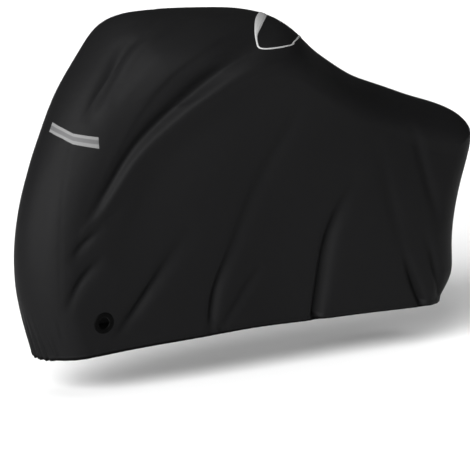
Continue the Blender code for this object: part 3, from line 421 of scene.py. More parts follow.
class Curve:
    """A natural cubic spline through rows of numbers, along its chord length or its first column."""

    def __init__(self, rows, along_chords):
        rows = np.array(rows, float)
        if along_chords:
            chords = np.linalg.norm(np.diff(rows[:, :2], axis=0), axis=1)
            self.knots = np.concatenate([[0.0], np.cumsum(chords)])
            self.values = rows
        else:
            self.knots = rows[:, 0]
            self.values = rows[:, 1:]
        self.length = self.knots[-1]
        count = len(self.knots)
        step = np.diff(self.knots)
        slope = np.diff(self.values, axis=0) / step[:, None]
        system = np.eye(count)
        bend = np.zeros((count, self.values.shape[1]))
        for i in range(1, count - 1):
            system[i, i - 1:i + 2] = (step[i - 1], 2 * (step[i - 1] + step[i]), step[i])
            bend[i] = 6 * (slope[i] - slope[i - 1])
        self.bends = np.linalg.solve(system, bend)

    def _span(self, place):
        place = np.clip(np.asarray(place, float), self.knots[0], self.knots[-1])
        index = np.clip(np.searchsorted(self.knots, place, side="right") - 1, 0, len(self.knots) - 2)
        width = self.knots[index + 1] - self.knots[index]
        part = (place - self.knots[index]) / width
        return index, width[..., None], part[..., None]

    def at(self, place):
        i, width, b = self._span(place)
        a = 1 - b
        straight = a * self.values[i] + b * self.values[i + 1]
        return straight + width**2 / 6 * ((a**3 - a) * self.bends[i] + (b**3 - b) * self.bends[i + 1])

    def slope(self, place):
        i, width, b = self._span(place)
        a = 1 - b
        straight = (self.values[i + 1] - self.values[i]) / width
        return straight + width / 6 * ((1 - 3 * a**2) * self.bends[i] + (3 * b**2 - 1) * self.bends[i + 1])


OUTLINE = Curve(PROFILE, True)
WIDTHS = Curve(STATIONS, False)
OUTLINE_PLACES = np.linspace(0, OUTLINE.length, PROFILE_SAMPLES)
OUTLINE_POINTS = OUTLINE.at(OUTLINE_PLACES)[:, :2]


def smooth(share):
    """A soft step from 0 to 1."""
    share = np.clip(share, 0, 1)
    return share * share * (3 - 2 * share)


def hem_z(x):
    return WIDTHS.at(x)[..., 4]


def nearest_place(x, z):
    """The place along the outline that is nearest to each (x, z)."""
    points = np.stack([np.ravel(x), np.ravel(z)], -1)
    place = np.zeros(len(points))
    for first in range(0, len(points), NEAREST_BATCH):
        batch = points[first:first + NEAREST_BATCH]
        gaps = ((batch[:, None, :] - OUTLINE_POINTS[None, :, :])**2).sum(-1)
        place[first:first + NEAREST_BATCH] = OUTLINE_PLACES[gaps.argmin(1)]
    for _ in range(NEAREST_TRIES):
        run = OUTLINE.slope(place)[:, :2]
        error = ((OUTLINE.at(place)[:, :2] - points) * run).sum(1) / (run * run).sum(1)
        move = NEAREST_DAMPING * np.clip(error, -NEAREST_STEP, NEAREST_STEP)
        place = np.clip(place - move, 0, OUTLINE.length)
    return place.reshape(np.shape(x))


def side_width(x, z):
    """The half-width of the cover's flat side, before it turns in to the outline."""
    hem, waist, shoulder, shoulder_z, low = np.moveaxis(WIDTHS.at(x), -1, 0)
    rise = np.clip((z - low) / (shoulder_z - low), 0, 1)
    bow = 2 * hem - 4 * waist + 2 * shoulder
    lean = 4 * waist - 3 * hem - shoulder
    return bow * rise**2 + lean * rise + hem


def hull(x, z):
    """Half-width of the bare hull and its outward direction at (x, z)."""
    x = np.asarray(x, float)
    z = np.asarray(z, float)
    place = nearest_place(x, z)
    foot = OUTLINE.at(place)
    run = OUTLINE.slope(place)
    run = run[..., :2] / np.linalg.norm(run[..., :2], axis=-1, keepdims=True)
    depth = np.hypot(x - foot[..., 0], z - foot[..., 1])
    turn = foot[..., 2]
    lean = np.clip(1 - depth / turn, 0, 1)
    width = side_width(x, z)
    reach = np.sqrt(np.clip(1 - lean**2, 0, 1))
    step = SLOPE_STEP
    slope_x = (side_width(x + step, z) - side_width(x - step, z)) / (2 * step)
    slope_z = (side_width(x, z + step) - side_width(x, z - step)) / (2 * step)
    normal_x = -reach**2 * slope_x / width - lean * run[..., 1] / turn
    normal_z = -reach**2 * slope_z / width + lean * run[..., 0] / turn
    normal = np.stack([normal_x, np.maximum(reach, 1e-6) / width, normal_z], -1)
    return width * reach, normal / np.linalg.norm(normal, axis=-1, keepdims=True)


def lock_plane():
    """Half-width of the hull at the lock hole, and its two slopes."""
    x, z = LOCK_CENTRE
    step = LOCK_SLOPE_STEP
    middle, ahead, above = (float(hull(x + dx, z + dz)[0]) for dx, dz in ((0, 0), (step, 0), (0, step)))
    return middle, (ahead - middle) / step, (above - middle) / step


LOCK_WIDTH, LOCK_SLOPE_X, LOCK_SLOPE_Z = lock_plane()
HEAD_PLACE = float(nearest_place(*SEAM_HEAD))
TAIL_PLACE = float(nearest_place(*TAIL))
SEAM_FOOT = (SEAM_FOOT_X, float(hem_z(SEAM_FOOT_X)))
SEAM = Curve([SEAM_FOOT, *CORNER_SEAM, tuple(OUTLINE.at(HEAD_PLACE)[:2])], True)


def fold_lines(folds):
    """Each fold as a curve of x, z, widths and depth, and whether it runs towards the front."""
    return [(Curve(places, True), places[-1][0] < places[0][0]) for places in folds.values()]


def fold_depth(x, z, lines):
    """How far folds press the cloth in at (x, z)."""
    total = np.zeros(np.shape(x))
    for curve, frontward in lines:
        steps = max(int(curve.length / FOLD_STEP), 3)
        line = curve.at(np.linspace(0, curve.length, steps + 1))
        best = np.full(np.shape(x), np.inf)
        across = np.zeros(np.shape(x))
        above = np.zeros(np.shape(x))
        below = np.zeros(np.shape(x))
        depth = np.zeros(np.shape(x))
        for a, b in zip(line[:-1], line[1:]):
            run = b[:2] - a[:2]
            part = np.clip(((x - a[0]) * run[0] + (z - a[1]) * run[1]) / (run @ run), 0, 1)
            off_x = x - a[0] - part * run[0]
            off_z = z - a[1] - part * run[1]
            gap = np.hypot(off_x, off_z)
            sign = (run[0] * off_z - run[1] * off_x) / (np.linalg.norm(run) * np.maximum(gap, 1e-9))
            closer = gap < best
            across = np.where(closer, sign, across)
            above = np.where(closer, a[2] + part * (b[2] - a[2]), above)
            below = np.where(closer, a[3] + part * (b[3] - a[3]), below)
            depth = np.where(closer, a[4] + part * (b[4] - a[4]), depth)
            best = np.where(closer, gap, best)
        # The upper flank is on the right hand of a line that runs towards the front.
        flank = -across if frontward else across
        width = below + (above - below) * (0.5 + 0.5 * flank)
        total += depth * np.exp(-(best / np.maximum(width, LEAST_FOLD_WIDTH))**2)
    return total


FOLD_LINES = {side: fold_lines(folds) for side, folds in FOLDS.items()}
CREASE_LINES = {LEFT: fold_lines(CREASES | LEFT_CREASES), RIGHT: fold_lines(CREASES)}


def cloth(x, z, side, lift=0.0):
    """Points of the cover's outer face at (x, z) of the side view, raised by lift along the face."""
    x = np.asarray(x, float)
    z = np.asarray(z, float)
    half, normal = hull(x, z)
    from_lock = np.hypot(x - LOCK_CENTRE[0], z - LOCK_CENTRE[1])
    keep = smooth((from_lock - LOCK_FLAT) / LOCK_BLEND)
    flat = LOCK_WIDTH + LOCK_SLOPE_X * (x - LOCK_CENTRE[0]) + LOCK_SLOPE_Z * (z - LOCK_CENTRE[1])
    half = flat + (half - flat) * keep
    facing = np.array((-LOCK_SLOPE_X, 1.0, -LOCK_SLOPE_Z))
    facing /= np.linalg.norm(facing)
    normal = facing + (normal - facing) * keep[..., None]
    lines = FOLD_LINES["left" if side == LEFT else "right"]
    press = fold_depth(x, z, lines) * keep * smooth(half / FOLD_FADE)
    rise = np.asarray(lift) - press
    points = np.stack([x, half, z], -1) + normal * rise[..., None]
    points[..., 1] *= side
    return points


def easing(share, ease):
    """A share of 0 to 1 that starts slowly, the more so with a small ease."""
    return (np.sqrt(share**2 + ease**2) - ease) / (math.sqrt(1 + ease**2) - ease)


def panel_place(u, v):
    """(x, z) of a side panel's place: u from the corner seam to the tail, v from the ridge to the hem."""
    u = 1 - easing(1 - np.asarray(u, float), COLUMN_EASE)
    v = easing(np.asarray(v, float), ROW_EASE)
    top = OUTLINE.at(HEAD_PLACE + u * (TAIL_PLACE - HEAD_PLACE))[..., :2]
    rear = OUTLINE.at(TAIL_PLACE + v * (OUTLINE.length - TAIL_PLACE))[..., :2]
    front = SEAM.at(SEAM.length * (1 - v))
    hem_x = SEAM_FOOT_X + u * (PROFILE[-1].x - SEAM_FOOT_X)
    hem = np.stack([hem_x, hem_z(hem_x)], -1)
    hem_end = np.array((PROFILE[-1].x, float(hem_z(PROFILE[-1].x))))
    u = u[..., None]
    v = v[..., None]
    rear = rear + v * (hem_end - OUTLINE.at(OUTLINE.length)[:2])
    corners = (1 - u) * (1 - v) * SEAM.at(SEAM.length) + u * (1 - v) * OUTLINE.at(TAIL_PLACE)[:2]
    corners = corners + (1 - u) * v * np.array(SEAM_FOOT) + u * v * hem_end
    return (1 - u) * front + u * rear + (1 - v) * top + v * hem - corners


def seam_gap(x, z):
    """How far (x, z) of the side view lies from the corner seam."""
    line = SEAM.at(np.linspace(0, SEAM.length, SEAM_SAMPLES))[:, :2]
    points = np.stack([np.ravel(x), np.ravel(z)], -1)
    gap = np.zeros(len(points))
    for first in range(0, len(points), NEAREST_BATCH):
        batch = points[first:first + NEAREST_BATCH]
        gap[first:first + NEAREST_BATCH] = np.sqrt(((batch[:, None, :] - line[None, :, :])**2).sum(-1)).min(1)
    return gap.reshape(np.shape(x))


def creased(x, z, side):
    """Points of the cover's outer face with its small creases, its seams and its hem band."""
    height = z - hem_z(x)
    crease = fold_depth(x, z, CREASE_LINES[side])
    gathered = smooth(1 - height / GATHER_HEIGHT)
    ruffle = np.sin(GATHER_WAVES * x + 1.7 * np.sin(GATHER_SWAY * x + side)) * GATHER_DEPTH * gathered
    nose = smooth((NOSE_GATHER_START - x) / NOSE_GATHER_BLEND) * smooth(1 - height / NOSE_GATHER_HEIGHT)
    around = NOSE_GATHER_WAVES * hull(x, z)[0] + NOSE_GATHER_SPREAD * height + side
    ruffle = ruffle + NOSE_GATHER_DEPTH * nose * (np.sin(around) + 0.5 * np.sin(1.7 * around + side))
    band = HEM_RISE * smooth((HEM_BAND + HEM_EDGE - height) / HEM_EDGE)
    gap = seam_gap(x, z)
    pucker = 1 + SEAM_PUCKER * np.sin(PUCKER_WAVES * z + 2.1 * np.sin(PUCKER_SWAY * z))
    seam = SEAM_DEPTH * pucker * np.exp(-(gap / SEAM_WIDTH)**2)
    return cloth(x, z, side, band + ruffle - crease - seam)


def arc_lengths(points):
    """How far each point of a grid lies along its row and down its column, in metres."""
    along = np.linalg.norm(np.diff(points, axis=1), axis=-1)
    down = np.linalg.norm(np.diff(points, axis=0), axis=-1)
    along = np.concatenate([np.zeros((len(points), 1)), np.cumsum(along, 1)], 1)
    down = np.concatenate([np.zeros((1, points.shape[1])), np.cumsum(down, 0)], 0)
    return np.stack([along, down], -1)


def mesh_object(name, points, faces, places, material):
    """A smooth mesh of a grid's points, with each point's place on the cut cloth as its UV map."""
    mesh = bpy.data.meshes.new(name)
    mesh.from_pydata(points.reshape(-1, 3).tolist(), [], faces)
    chart = mesh.uv_layers.new(name="cloth")
    corners = np.zeros(len(mesh.loops), np.int64)
    mesh.loops.foreach_get("vertex_index", corners)
    chart.data.foreach_set("uv", places.reshape(-1, 2)[corners].ravel())
    mesh.materials.append(material)
    mesh.shade_smooth()
    mesh.validate()
    thing = bpy.data.objects.new(name, mesh)
    bpy.context.scene.collection.objects.link(thing)
    return thing


def close_points(thing):
    """The mesh with points that lie on one another made one."""
    shape = bmesh.new()
    shape.from_mesh(thing.data)
    bmesh.ops.remove_doubles(shape, verts=shape.verts, dist=0.00002)
    shape.to_mesh(thing.data)
    shape.free()


def quads(rows, columns, outward, skip=None):
    """Faces of a grid of points, leaving out the cells that skip is true for."""
    row, column = np.meshgrid(np.arange(rows - 1), np.arange(columns - 1), indexing="ij")
    first = (row * columns + column).ravel()
    cells = np.stack([first, first + 1, first + columns + 1, first + columns], -1)
    if skip is not None:
        cells = cells[~skip.ravel()]
    if not outward:
        cells = cells[:, ::-1]
    return cells.tolist()


def direction(vectors):
    return vectors / np.maximum(np.linalg.norm(vectors, axis=-1, keepdims=True), 1e-12)


def turned_hem(points, inward):
    """The grid with its last row drawn up, turned in round the hem's cord and taken up the inside."""
    edge = points[-1]
    up = direction(points[-4] - edge)
    inward = direction(inward - up * (inward * up).sum(-1, keepdims=True))
    centre = edge + HEM_ROLL * (up + inward)
    rows = []
    for turn in np.linspace(0, math.pi, HEM_TURN_STEPS + 1):
        rows.append(centre - HEM_ROLL * (math.cos(turn) * inward + math.sin(turn) * up))
    for rise in (0.35, 0.7, 1.0):
        rows.append(rows[HEM_TURN_STEPS] + up * HEM_INSIDE * rise)
    return np.concatenate([points[:-1], np.stack(rows)])


def row_shares():
    """Shares of the way from the ridge to the hem, closer together in the band above the hem."""
    above = np.linspace(0, 1 - HEM_SHARE, CLOTH_ROWS - HEM_ROWS + 1)
    return np.concatenate([above, np.linspace(1 - HEM_SHARE, 1, HEM_ROWS + 1)[1:]])


def side_places():
    u, v = np.meshgrid(np.linspace(0, 1, SIDE_COLUMNS + 1), row_shares())
    return panel_place(u, v)


def side_cloth(name, side, material, shade_paint):
    """One large side, from the ridge and tail seam to the hem, with a hole for the eyelet."""
    place = side_places()
    points = creased(place[..., 0], place[..., 1], side)
    points[0, :, 1] = 0.0
    points[:, -1, 1] = 0.0
    inward = np.zeros_like(points[-1])
    inward[:, 1] = -side
    inward[:, 0] = np.where(place[-1, :, 0] > 0.9, -(place[-1, :, 0] - 0.9) * 6, 0.0)
    places = arc_lengths(points)
    points = turned_hem(points, inward)
    extra = len(points) - len(places)
    steps = np.linspace(0, 1, extra + 1)[1:, None, None] * np.array((0.0, HEM_INSIDE + 3 * HEM_ROLL))
    places = np.concatenate([places, places[-1:] + steps])
    middle = (place[:-1, :-1] + place[1:, 1:]) / 2
    inside = np.hypot(middle[..., 0] - LOCK_CENTRE[0], middle[..., 1] - LOCK_CENTRE[1]) < LOCK_HOLE
    skip = np.zeros((len(points) - 1, SIDE_COLUMNS), bool)
    skip[:CLOTH_ROWS] = inside
    faces = quads(len(points), SIDE_COLUMNS + 1, side == RIGHT, skip)
    thing = mesh_object(name, points, faces, places, material)
    paint_hem_shade(thing, SIDE_COLUMNS + 1, shade_paint)
    return thing, points[:CLOTH_ROWS + 1]


def front_cloth(name, material, shade_paint):
    """The pointed front, from the left corner seam round the nose to the right one."""
    share = 1 - easing(row_shares(), ROW_EASE)
    middle = OUTLINE.at(share * HEAD_PLACE)
    seam = SEAM.at(share * SEAM.length)
    angle = np.arccos(np.clip(1 - np.linalg.norm(seam - middle[:, :2], axis=1) / middle[:, 2], 0, 1))
    angle = np.maximum(angle, LEAST_ANGLE)
    columns = []
    for column in range(-FRONT_COLUMNS, FRONT_COLUMNS + 1):
        part = (1 - np.cos(abs(column) / FRONT_COLUMNS * angle)) / (1 - np.cos(angle))
        place = middle[:, :2] + (seam - middle[:, :2]) * part[:, None]
        columns.append(creased(place[:, 0], place[:, 1], LEFT if column <= 0 else RIGHT))
    points = np.stack(columns, 1)
    points[:, FRONT_COLUMNS, 1] = 0.0
    inward = np.zeros_like(points[-1])
    inward[:, 0] = -0.45 - points[-1, :, 0]
    inward[:, 1] = -points[-1, :, 1]
    places = arc_lengths(points)
    points = turned_hem(points, inward)
    extra = len(points) - len(places)
    steps = np.linspace(0, 1, extra + 1)[1:, None, None] * np.array((0.0, HEM_INSIDE + 3 * HEM_ROLL))
    places = np.concatenate([places, places[-1:] + steps])
    faces = quads(len(points), 2 * FRONT_COLUMNS + 1, True)
    thing = mesh_object(name, points, faces, places, material)
    paint_hem_shade(thing, 2 * FRONT_COLUMNS + 1, shade_paint)
    close_points(thing)
    return thing, points[:CLOTH_ROWS + 1]


def paint_hem_shade(thing, columns, material):
    """The lowest rows of a cloth's grid, and its rolled edge, in a darker material: painted shade under the
    hem's roll.
    """
    thing.data.materials.append(material)
    for face in thing.data.polygons:
        if min(face.vertices) // columns >= CLOTH_ROWS - SHADED_HEM_ROWS:
            face.material_index = 1


def skin_of(things):
    """One searchable skin of several meshes."""
    points = []
    faces = []
    for thing in things:
        first = len(points)
        points += [vert.co.copy() for vert in thing.data.vertices]
        faces += [[index + first for index in face.vertices] for face in thing.data.polygons]
    return BVHTree.FromPolygons(points, faces)


def laid(skin, starts, aims):
    """Where rays meet the skin, and the outward direction there."""
    spots = np.zeros(starts.shape)
    faces_out = np.zeros(starts.shape)
    for index in np.ndindex(starts.shape[:-1]):
        aim = Vector(aims[index])
        spot, normal, _, _ = skin.ray_cast(Vector(starts[index]), aim)
        spots[index] = spot
        faces_out[index] = normal if normal.dot(aim) < 0 else -normal
    return spots, faces_out


def tape_rise(count, edge):
    """How far a tape's rows stand up, from 0 at both edges to 1 between."""
    share = np.linspace(0, 1, count)
    return smooth(np.minimum(share, 1 - share) / edge)


def corner_strip(name, side, word, skin, material):
    """Reflective tape across a front corner, drooping from the nose towards the side."""
    line = np.array(STRIP_LINE)
    degrees = np.linspace(*STRIP_DEGREES[word], STRIP_STEPS + 1)
    middle = np.interp(degrees, line[:, 0], line[:, 1])
    tall = np.interp(degrees, line[:, 0], line[:, 2])
    height = middle[None, :] + np.linspace(0.5, -0.5, STRIP_ROWS + 1)[:, None] * tall[None, :]
    turn = np.radians(np.broadcast_to(degrees, height.shape))
    away = np.stack([-np.cos(turn), side * np.sin(turn), np.zeros(turn.shape)], -1)
    starts = away * RAY_START + np.stack([np.full(turn.shape, NOSE_AXIS_X), np.zeros(turn.shape), height], -1)
    spots, out = laid(skin, starts, -away)
    rise = tape_rise(STRIP_ROWS + 1, 0.08)[:, None] * tape_rise(STRIP_STEPS + 1, 0.02)[None, :]
    points = spots + out * (SEAT + TAPE * rise)[..., None]
    places = arc_lengths(points)
    faces = quads(STRIP_ROWS + 1, STRIP_STEPS + 1, side == LEFT)
    return mesh_object(name, points, faces, places, material)


def flap_loop(front, rear, tip_degrees):
    """A flap outline that crosses the ridge, as places (x, degrees round from the ridge)."""
    rib = Curve([(row.degrees, getattr(row, front), getattr(row, rear)) for row in FLAP_RIBS], False)
    last = FLAP_RIBS[-1].degrees
    degrees = np.linspace(0, last, FLAP_EDGE_STEPS + 1)
    edges = rib.at(degrees)
    swing = np.linspace(0, math.pi, FLAP_TIP_STEPS + 1)[1:-1]
    middle = edges[-1].mean()
    half = (edges[-1, 1] - edges[-1, 0]) / 2
    tip_x = middle - half * np.cos(swing) + FLAP_TIP_LEAN * np.sin(swing)**2
    tip = np.stack([tip_x, last + (tip_degrees - last) * np.sin(swing)], -1)
    down = np.stack([edges[:, 0], degrees], -1)
    back = np.stack([edges[::-1, 1], degrees[::-1]], -1)
    right = np.concatenate([down, tip, back])
    left = right[::-1][1:-1] * np.array((1.0, -1.0))
    return np.concatenate([right, left]) * np.array((1.0, math.radians(1)))


def over_ridge(skin, chart):
    """Where places (x, angle round from the ridge) lie on the skin, and the outward direction there."""
    turn = chart[..., 1]
    away = np.stack([np.zeros(turn.shape), np.sin(turn), np.cos(turn)], -1)
    axis = np.stack([chart[..., 0], np.zeros(turn.shape), np.full(turn.shape, FLAP_AXIS_Z)], -1)
    return laid(skin, axis + away * RAY_START, -away)


def flap_trim(name, skin, material):
    """Reflective edging, one closed band that crosses the ridge before and behind the flap."""
    outer = flap_loop("front", "rear", FLAP_TIP_DEGREES[0])
    inner = flap_loop("cloth_front", "cloth_rear", FLAP_TIP_DEGREES[1])
    share = np.linspace(0, 1, 9)[:, None, None]
    chart = outer * (1 - share) + inner * share
    chart = np.concatenate([chart, chart[:, :1]], 1)
    spots, out = over_ridge(skin, chart)
    rise = tape_rise(9, 0.3)[:, None]
    points = spots + out * (SEAT + 2 * TAPE * rise)[..., None]
    places = arc_lengths(points)
    return mesh_object(name, points, quads(9, chart.shape[1], True), places, material)


def top_flap(name, skin, material):
    """The flap's own cloth, a saddle over the ridge inside the edging."""
    loop = flap_loop("cloth_front", "cloth_rear", FLAP_TIP_DEGREES[1])
    half = len(loop) // 2
    apex = FLAP_EDGE_STEPS + FLAP_TIP_STEPS // 2
    front_edge = loop[:apex + 1]
    rear_edge = loop[apex:half + 1][::-1]
    mirror = np.array((1.0, -1.0))
    front_edge = np.concatenate([front_edge[::-1], front_edge[1:] * mirror])
    rear_edge = np.concatenate([rear_edge[::-1], rear_edge[1:] * mirror])
    share = np.linspace(0, 1, FLAP_RINGS + 1)[:, None, None]
    chart = front_edge * (1 - share) + rear_edge * share
    spots, out = over_ridge(skin, chart)
    points = spots + out * FLAP_SEAT
    thing = mesh_object(name, points, quads(*points.shape[:2], True), arc_lengths(points), material)
    close_points(thing)
    return thing


def turned(name, section, centre, axis, material):
    """A ring turned about an axis from a section of (radius, height) places."""
    turn = np.linspace(0, 2 * math.pi, EYELET_STEPS + 1)
    frame_turn = Vector(axis).to_track_quat("Z", "Y").to_matrix()
    across = np.array(frame_turn.col[0])
    along = np.array(frame_turn.col[1])
    radius = np.array([row[0] for row in section])[:, None, None]
    height = np.array([row[1] for row in section])[:, None, None]
    round_it = np.cos(turn)[None, :, None] * across + np.sin(turn)[None, :, None] * along
    points = np.array(centre) + radius * round_it + height * np.array(axis)
    places = arc_lengths(points)
    return mesh_object(name, points, quads(len(section), EYELET_STEPS + 1, True), places, material)


def eyelet(name, side, material):
    """A ring that grips the rim of the lock hole between an outer and an inner flange."""
    middle = (EYELET_BORE + EYELET_OUTER) / 2
    reach = (EYELET_OUTER - EYELET_BORE) / 2
    swing = np.radians(np.linspace(0, 360, 25))
    section = []
    for turn in swing:
        radius = middle + reach * math.copysign(abs(math.cos(turn))**0.7, math.cos(turn))
        height = EYELET_LIP * math.copysign(abs(math.sin(turn))**0.7, math.sin(turn))
        section.append((radius, height - 0.0006))
    facing = np.array((-LOCK_SLOPE_X, side * 1.0, -LOCK_SLOPE_Z))
    facing /= np.linalg.norm(facing)
    centre = (LOCK_CENTRE[0], side * LOCK_WIDTH, LOCK_CENTRE[1])
    return turned(name, section[::-1], centre, facing, material)


def stitch_thread(material):
    """One stitch: a short thread with eight sides that dips into the cloth at both ends."""
    rings = []
    for share in np.linspace(-1, 1, 5):
        turn = np.linspace(0, 2 * math.pi, 9)[:-1]
        radius = STITCH_RADIUS * math.sqrt(max(1 - 0.8 * share**2, 0.05))
        rise = STITCH_RADIUS * (0.6 - 0.9 * share**2)
        rings.append(np.stack([np.full(8, share * STITCH_LENGTH / 2), radius * np.cos(turn),
                               radius * np.sin(turn) + rise], -1))
    points = np.concatenate(rings)
    faces = []
    for ring in range(4):
        for corner in range(8):
            after = (corner + 1) % 8
            faces.append((ring * 8 + corner, ring * 8 + after, ring * 8 + 8 + after, ring * 8 + 8 + corner))
    faces.append(tuple(range(8))[::-1])
    faces.append(tuple(range(32, 40)))
    mesh = bpy.data.meshes.new("stitch")
    mesh.from_pydata(points.tolist(), [], faces)
    mesh.shade_smooth()
    mesh.materials.append(material)
    thing = bpy.data.objects.new("stitch", mesh)
    bpy.context.scene.collection.objects.link(thing)
    return thing


def stitching_tree(thread, material):
    """Stitches at even steps along the object's edges, standing off its stored outward directions."""
    tree = bpy.data.node_groups.new("stitching", "GeometryNodeTree")
    tree.interface.new_socket(name="Cloth", in_out="INPUT", socket_type="NodeSocketGeometry")
    step = tree.interface.new_socket(name="Step", in_out="INPUT", socket_type="NodeSocketFloat")
    tree.interface.new_socket(name="Stitches", in_out="OUTPUT", socket_type="NodeSocketGeometry")
    link = tree.links.new
    given = node(tree, "NodeGroupInput")
    result = node(tree, "NodeGroupOutput")
    outward = node(tree, "GeometryNodeInputNamedAttribute", data_type="FLOAT_VECTOR")
    outward.inputs["Name"].default_value = "outward"
    lines = node(tree, "GeometryNodeMeshToCurve")
    link(given.outputs["Cloth"], lines.inputs["Mesh"])
    spots = node(tree, "GeometryNodeCurveToPoints", mode="LENGTH")
    link(lines.outputs["Curve"], spots.inputs["Curve"])
    link(given.outputs["Step"], spots.inputs["Length"])
    along = node(tree, "FunctionNodeAlignRotationToVector", axis="X")
    link(spots.outputs["Tangent"], along.inputs["Vector"])
    upright = node(tree, "FunctionNodeAlignRotationToVector", axis="Z", pivot_axis="X")
    link(along.outputs["Rotation"], upright.inputs["Rotation"])
    link(outward.outputs["Attribute"], upright.inputs["Vector"])
    shape = node(tree, "GeometryNodeObjectInfo")
    shape.inputs["Object"].default_value = thread
    copies = node(tree, "GeometryNodeInstanceOnPoints")
    link(spots.outputs["Points"], copies.inputs["Points"])
    link(shape.outputs["Geometry"], copies.inputs["Instance"])
    link(upright.outputs["Rotation"], copies.inputs["Rotation"])
    real = node(tree, "GeometryNodeRealizeInstances")
    link(copies.outputs["Instances"], real.inputs["Geometry"])
    painted = node(tree, "GeometryNodeSetMaterial")
    painted.inputs["Material"].default_value = material
    link(real.outputs["Geometry"], painted.inputs["Geometry"])
    link(painted.outputs["Geometry"], result.inputs["Stitches"])
    return tree, step.identifier


def stitching(name, lines, tree, step, material):
    """Baked stitches along lines of points, each line with its outward directions."""
    points = np.concatenate([line for line, _ in lines])
    outward = np.concatenate([out for _, out in lines])
    edges = []
    first = 0
    for line, _ in lines:
        edges += [(first + index, first + index + 1) for index in range(len(line) - 1)]
        first += len(line)
    mesh = bpy.data.meshes.new(name)
    mesh.from_pydata(points.tolist(), edges, [])
    kept = mesh.attributes.new("outward", "FLOAT_VECTOR", "POINT")
    kept.data.foreach_set("vector", outward.ravel())
    thing = bpy.data.objects.new(name, mesh)
    bpy.context.scene.collection.objects.link(thing)
    maker = thing.modifiers.new("stitching", "NODES")
    maker.node_group = tree
    maker[step] = STITCH_STEP
    baked = bpy.data.meshes.new_from_object(thing.evaluated_get(bpy.context.evaluated_depsgraph_get()))
    thing.modifiers.remove(maker)
    thing.data = baked
    baked.materials.clear()
    baked.materials.append(material)
    baked.shade_smooth()
    return thing


def grid_directions(points):
    """The outward directions of a cloth's grid, away from the centre of the cover's length."""
    out = direction(np.cross(np.gradient(points, axis=0), np.gradient(points, axis=1)))
    away = points * np.array((0.2, 1.0, 0.0)) + np.array((0.0, 0.0, 0.05))
    return out * np.where((out * away).sum(-1, keepdims=True) < 0, -1.0, 1.0)


def seam_stitches(grid, rows, columns):
    """Stitch lines along the given rows and columns of a cloth's grid."""
    out = grid_directions(grid)
    lines = [(grid[row], out[row]) for row in rows]
    lines += [(grid[1:, column], out[1:, column]) for column in columns]
    return lines


def node(tree, kind, **values):
    made = tree.nodes.new(kind)
    for key, value in values.items():
        setattr(made, key, value)
    return made


def cloth_material(name, colour, weave_scale, roughness):
    """Thin coated cloth: a plain weave under a matte coat, with faint rubbed patches."""
    made = bpy.data.materials.new(name)
    made.use_nodes = True
    tree = made.node_tree
    link = tree.links.new
    shader = tree.nodes["Principled BSDF"]
    place = node(tree, "ShaderNodeUVMap", uv_map="cloth")
    warp = node(tree, "ShaderNodeTexWave", wave_type="BANDS", bands_direction="X")
    weft = node(tree, "ShaderNodeTexWave", wave_type="BANDS", bands_direction="Y")
    for wave in (warp, weft):
        wave.inputs["Scale"].default_value = weave_scale
        link(place.outputs["UV"], wave.inputs["Vector"])
    weave = node(tree, "ShaderNodeMath", operation="MULTIPLY")
    link(warp.outputs["Fac"], weave.inputs[0])
    link(weft.outputs["Fac"], weave.inputs[1])
    crumple = node(tree, "ShaderNodeTexNoise")
    crumple.inputs["Scale"].default_value = 22.0
    crumple.inputs["Detail"].default_value = 3.0
    link(place.outputs["UV"], crumple.inputs["Vector"])
    soft = node(tree, "ShaderNodeBump")
    soft.inputs["Strength"].default_value = 0.35
    soft.inputs["Distance"].default_value = 0.004
    link(crumple.outputs["Fac"], soft.inputs["Height"])
    fine = node(tree, "ShaderNodeBump")
    fine.inputs["Strength"].default_value = 0.25
    fine.inputs["Distance"].default_value = 0.0002
    link(weave.outputs[0], fine.inputs["Height"])
    link(soft.outputs["Normal"], fine.inputs["Normal"])
    link(fine.outputs["Normal"], shader.inputs["Normal"])
    rub = node(tree, "ShaderNodeTexNoise")
    rub.inputs["Scale"].default_value = 3.0
    rub.inputs["Detail"].default_value = 4.0
    link(place.outputs["UV"], rub.inputs["Vector"])
    tint = node(tree, "ShaderNodeMix", data_type="RGBA")
    tint.inputs["A"].default_value = (*[part * 0.88 for part in colour], 1.0)
    tint.inputs["B"].default_value = (*[part * 1.12 for part in colour], 1.0)
    link(rub.outputs["Fac"], tint.inputs["Factor"])
    link(tint.outputs["Result"], shader.inputs["Base Color"])
    shader.inputs["Roughness"].default_value = roughness
    shader.inputs["Specular IOR Level"].default_value = 0.05
    return made


